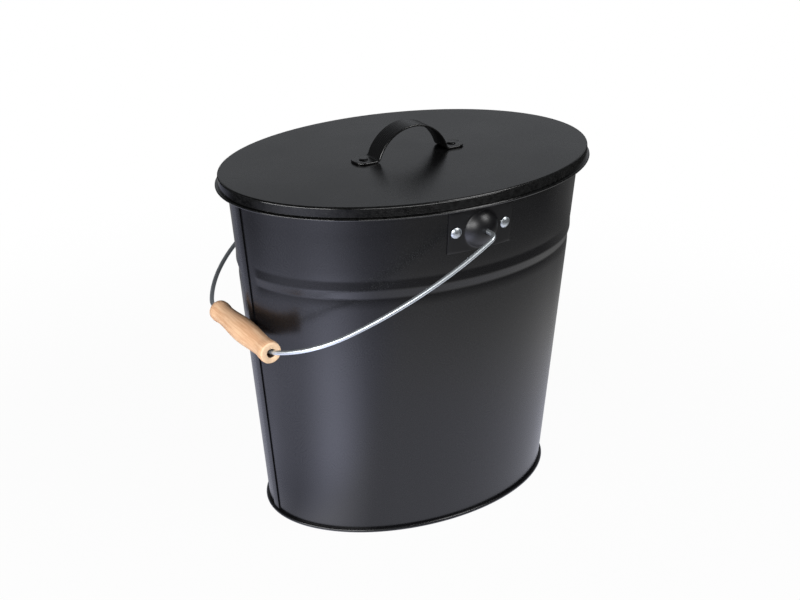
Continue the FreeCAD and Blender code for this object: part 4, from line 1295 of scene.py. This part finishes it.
def light_paths(maker):
    """Masks for what the camera sees itself, and for what it sees by reflection."""
    path = maker.add("ShaderNodeLightPath").outputs
    reflected = maker.math("MAXIMUM", path["Is Glossy Ray"], path["Is Transmission Ray"])
    return path["Is Camera Ray"], reflected


def white_backdrop():
    """World: white to the camera.

    In reflections, a bright sweep stands behind the bucket, above a dark horizon and under a dim
    ceiling, and a faint glow lies low on the left.
    """
    world = bpy.data.worlds.new("white_backdrop")
    maker = emptied(world)
    seen, reflected = light_paths(maker)
    way = maker.add("ShaderNodeTexCoord").outputs["Generated"]
    rise = maker.split(way)["Z"]
    ceiling = maker.eased(rise, 0.36, 0.62, 0.35, 0.15)
    sweep = maker.times(
        maker.eased(rise, 0.06, 0.34, 1.6, ceiling), maker.eased(rise, 0.15, 0.27, 0.08, 1.0),
        maker.eased(maker.dot(way, VIEW_WAY), 0.45, 0.9, 0.12, 1.0))
    glow = maker.times(
        maker.eased(maker.dot(way, LEFT), 0.45, 0.95, 0.0, 0.3),
        maker.eased(rise, 0.10, 0.40, 1.0, 0.0))
    level = maker.mapped(reflected, 0.0, 1.0, stage().soft_fill, maker.total(sweep, glow))
    sky = maker.add("ShaderNodeBackground", {
        "Color": maker.mixed(reflected, WHITE, (0.965, 0.995, 1.045)),
        "Strength": maker.mapped(seen, 0.0, 1.0, level, 1.0),
    })
    maker.add("ShaderNodeOutputWorld", {"Surface": sky.outputs["Background"]})
    return world


def pale_floor():
    """Floor: white to the camera, with a faint shadow, and in reflections a painted pool of light
    that the floor gives off as its own glow.
    """
    material, maker = new_material("pale_floor")
    place = maker.object_place()
    tone = stage().floor_colour
    light = tuple(channel * 1.01 for channel in tone)
    matt = maker.add("ShaderNodeBsdfPrincipled", {
        "Base Color": maker.mixed(maker.noise(place, 40.0, 2.0), tone, light),
        "Roughness": 0.9, "Specular IOR Level": 0.1,
    })

    # Painted pool of light, which the floor gives off as its own glow in reflections: round the
    # bucket and beside it, further out to its left, and a painted beam that rakes across the floor
    # from the front left
    local = maker.moved(place, shift=(0.06, -0.01, 0.0))
    x, y, _ = maker.split(local)
    far = maker.add("ShaderNodeVectorMath", {0: local}, operation="LENGTH").outputs["Value"]
    heading = maker.add("ShaderNodeVectorMath", {0: local}, operation="NORMALIZE").outputs["Vector"]
    turn = maker.math("ARCTAN2", y, x)
    round_foot = maker.times(
        maker.eased(far, 0.28, 0.92, 0.97, 0.03), maker.eased(y, -0.12, 0.06, 1.0, 0.7))
    leftward = maker.times(
        maker.eased(x, -0.20, -0.50, 0.0, 0.65),
        maker.eased(maker.gap(y, -0.22), 0.20, 0.60, 1.0, 0.0),
        maker.eased(far, 0.55, 0.95, 1.0, 0.45))
    painted_beam = maker.times(
        maker.eased(maker.gap(turn, -math.radians(136.0)), 0.0, math.radians(30.0), 2.0, 0.0),
        maker.eased(far, 0.28, 0.76, 1.0, 0.0), maker.eased(far, 0.14, 0.22, 0.55, 1.0))
    beside = maker.times(
        maker.eased(maker.dot(heading, LEFT), 0.84, 0.95, 0.0, 0.28),
        maker.eased(maker.gap(far, 0.26), 0.06, 0.14, 1.0, 0.0))

    # The painted light also makes a dim ring behind it and to its sides, and a bright patch well in
    # front, to the left
    begin = maker.math("SUBTRACT", far, maker.mapped(x, 0.0, 0.6, 0.0, 0.14))
    ring = maker.times(
        maker.eased(begin, 0.60, 0.78), maker.eased(far, 0.95, 1.10, 1.0, 0.0),
        maker.mapped(x, 0.0, 0.6, 0.28, 0.19), maker.eased(maker.dot(heading, VIEW_WAY), 0.2, 0.5))
    patch = maker.times(
        maker.eased(maker.gap(turn, -math.radians(145.0)), 0.0, math.radians(40.0), 1.2, 0.0),
        maker.eased(maker.gap(far, 1.05), 0.03, 0.09, 1.0, 0.0))
    painted_pool = maker.total(round_foot, leftward, painted_beam, beside, ring, patch)

    # The painted pool is cooler near the foot and to the left
    seen, reflected = light_paths(maker)
    near = maker.mapped(far, 0.28, 0.50, 0.55, 0.0)
    cool = maker.times(maker.math("MAXIMUM", maker.eased(x, 0.0, -0.14), near), reflected)
    # The emission is plain white to the camera, and the painted pool of light in reflections
    white = maker.add("ShaderNodeEmission", {
        "Color": maker.mixed(cool, WHITE, (0.91, 0.94, 1.18)),
        "Strength": maker.mapped(reflected, 0.0, 1.0, 1.0, painted_pool),
    })
    plain = maker.times(seen, maker.eased(far, 0.30, 0.95, 0.96, 1.0))
    mix = maker.add("ShaderNodeMixShader", {
        0: maker.math("MAXIMUM", plain, reflected),
        1: matt.outputs["BSDF"], 2: white.outputs["Emission"],
    })
    maker.add("ShaderNodeOutputMaterial", {"Surface": mix.outputs["Shader"]})
    return material


class ASHBUCKET_OT_stage(bpy.types.Operator):
    """Set up the pale floor, the soft light, the white backdrop and the camera"""

    bl_idname = "ashbucket.stage"
    bl_label = "Stage"

    def execute(self, context):
        scene = context.scene
        look = stage()
        scene.view_settings.view_transform = "Standard"
        scene.world = white_backdrop()

        mesh = bpy.data.meshes.new("floor")
        corners = [(-1, -1), (1, -1), (1, 1), (-1, 1)]
        mesh.from_pydata(
            [(x * FLOOR_REACH, y * FLOOR_REACH, 0.0) for x, y in corners], [], [(0, 1, 2, 3)])
        mesh.materials.append(pale_floor())
        new_object("floor", mesh)

        for name, setting in SOFTBOXES.items():
            hang_softbox(name, *setting)

        lens = bpy.data.cameras.new("photo_camera")
        lens.lens = look.lens
        lens.sensor_width = 36.0
        lens.sensor_fit = "HORIZONTAL"
        camera = new_object("photo_camera", lens)
        camera.location = look.camera_place
        camera.rotation_euler = (math.pi / 2 - look.camera_tilt, 0.0, -look.camera_turn)
        scene.camera = camera
        return {"FINISHED"}


class ASHBUCKET_PT_pieces(bpy.types.Panel):
    """Lists the bucket's pieces, sizes and finishes"""

    bl_label = "Ash bucket"
    bl_idname = "ASHBUCKET_PT_pieces"
    bl_space_type = "VIEW_3D"
    bl_region_type = "UI"
    bl_category = "Ash bucket"

    def draw(self, context):
        column = self.layout.column()
        for maker in MAKERS:
            column.operator(maker.bl_idname)
        for heading, group in (("Sizes", sizes()), ("Finishes", finish()), ("Stage", stage())):
            box = self.layout.box()
            box.label(text=heading)
            for name in group.__annotations__:
                box.prop(group, name)


MAKERS = (
    ASHBUCKET_OT_wall,
    ASHBUCKET_OT_base,
    ASHBUCKET_OT_rim_wire,
    ASHBUCKET_OT_ears,
    ASHBUCKET_OT_ear_rivets,
    ASHBUCKET_OT_bail,
    ASHBUCKET_OT_grip,
    ASHBUCKET_OT_lid,
    ASHBUCKET_OT_lid_handle,
    ASHBUCKET_OT_lid_rivets,
    ASHBUCKET_OT_stage,
)
GROUPS = (
    ("ash_bucket_sizes", AshBucketSizes),
    ("ash_bucket_finish", AshBucketFinish),
    ("ash_bucket_stage", AshBucketStage),
)


def register():
    for name, group in GROUPS:
        bpy.utils.register_class(group)
        setattr(bpy.types.Scene, name, PointerProperty(type=group))
    for maker in (*MAKERS, ASHBUCKET_PT_pieces):
        bpy.utils.register_class(maker)


def unregister():
    for maker in (ASHBUCKET_PT_pieces, *reversed(MAKERS)):
        bpy.utils.unregister_class(maker)
    for name, group in reversed(GROUPS):
        delattr(bpy.types.Scene, name)
        bpy.utils.unregister_class(group)


def main():
    register()
    for maker in MAKERS:
        space, name = maker.bl_idname.split(".")
        getattr(getattr(bpy.ops, space), name)()


if __name__ == "__main__":
    main()
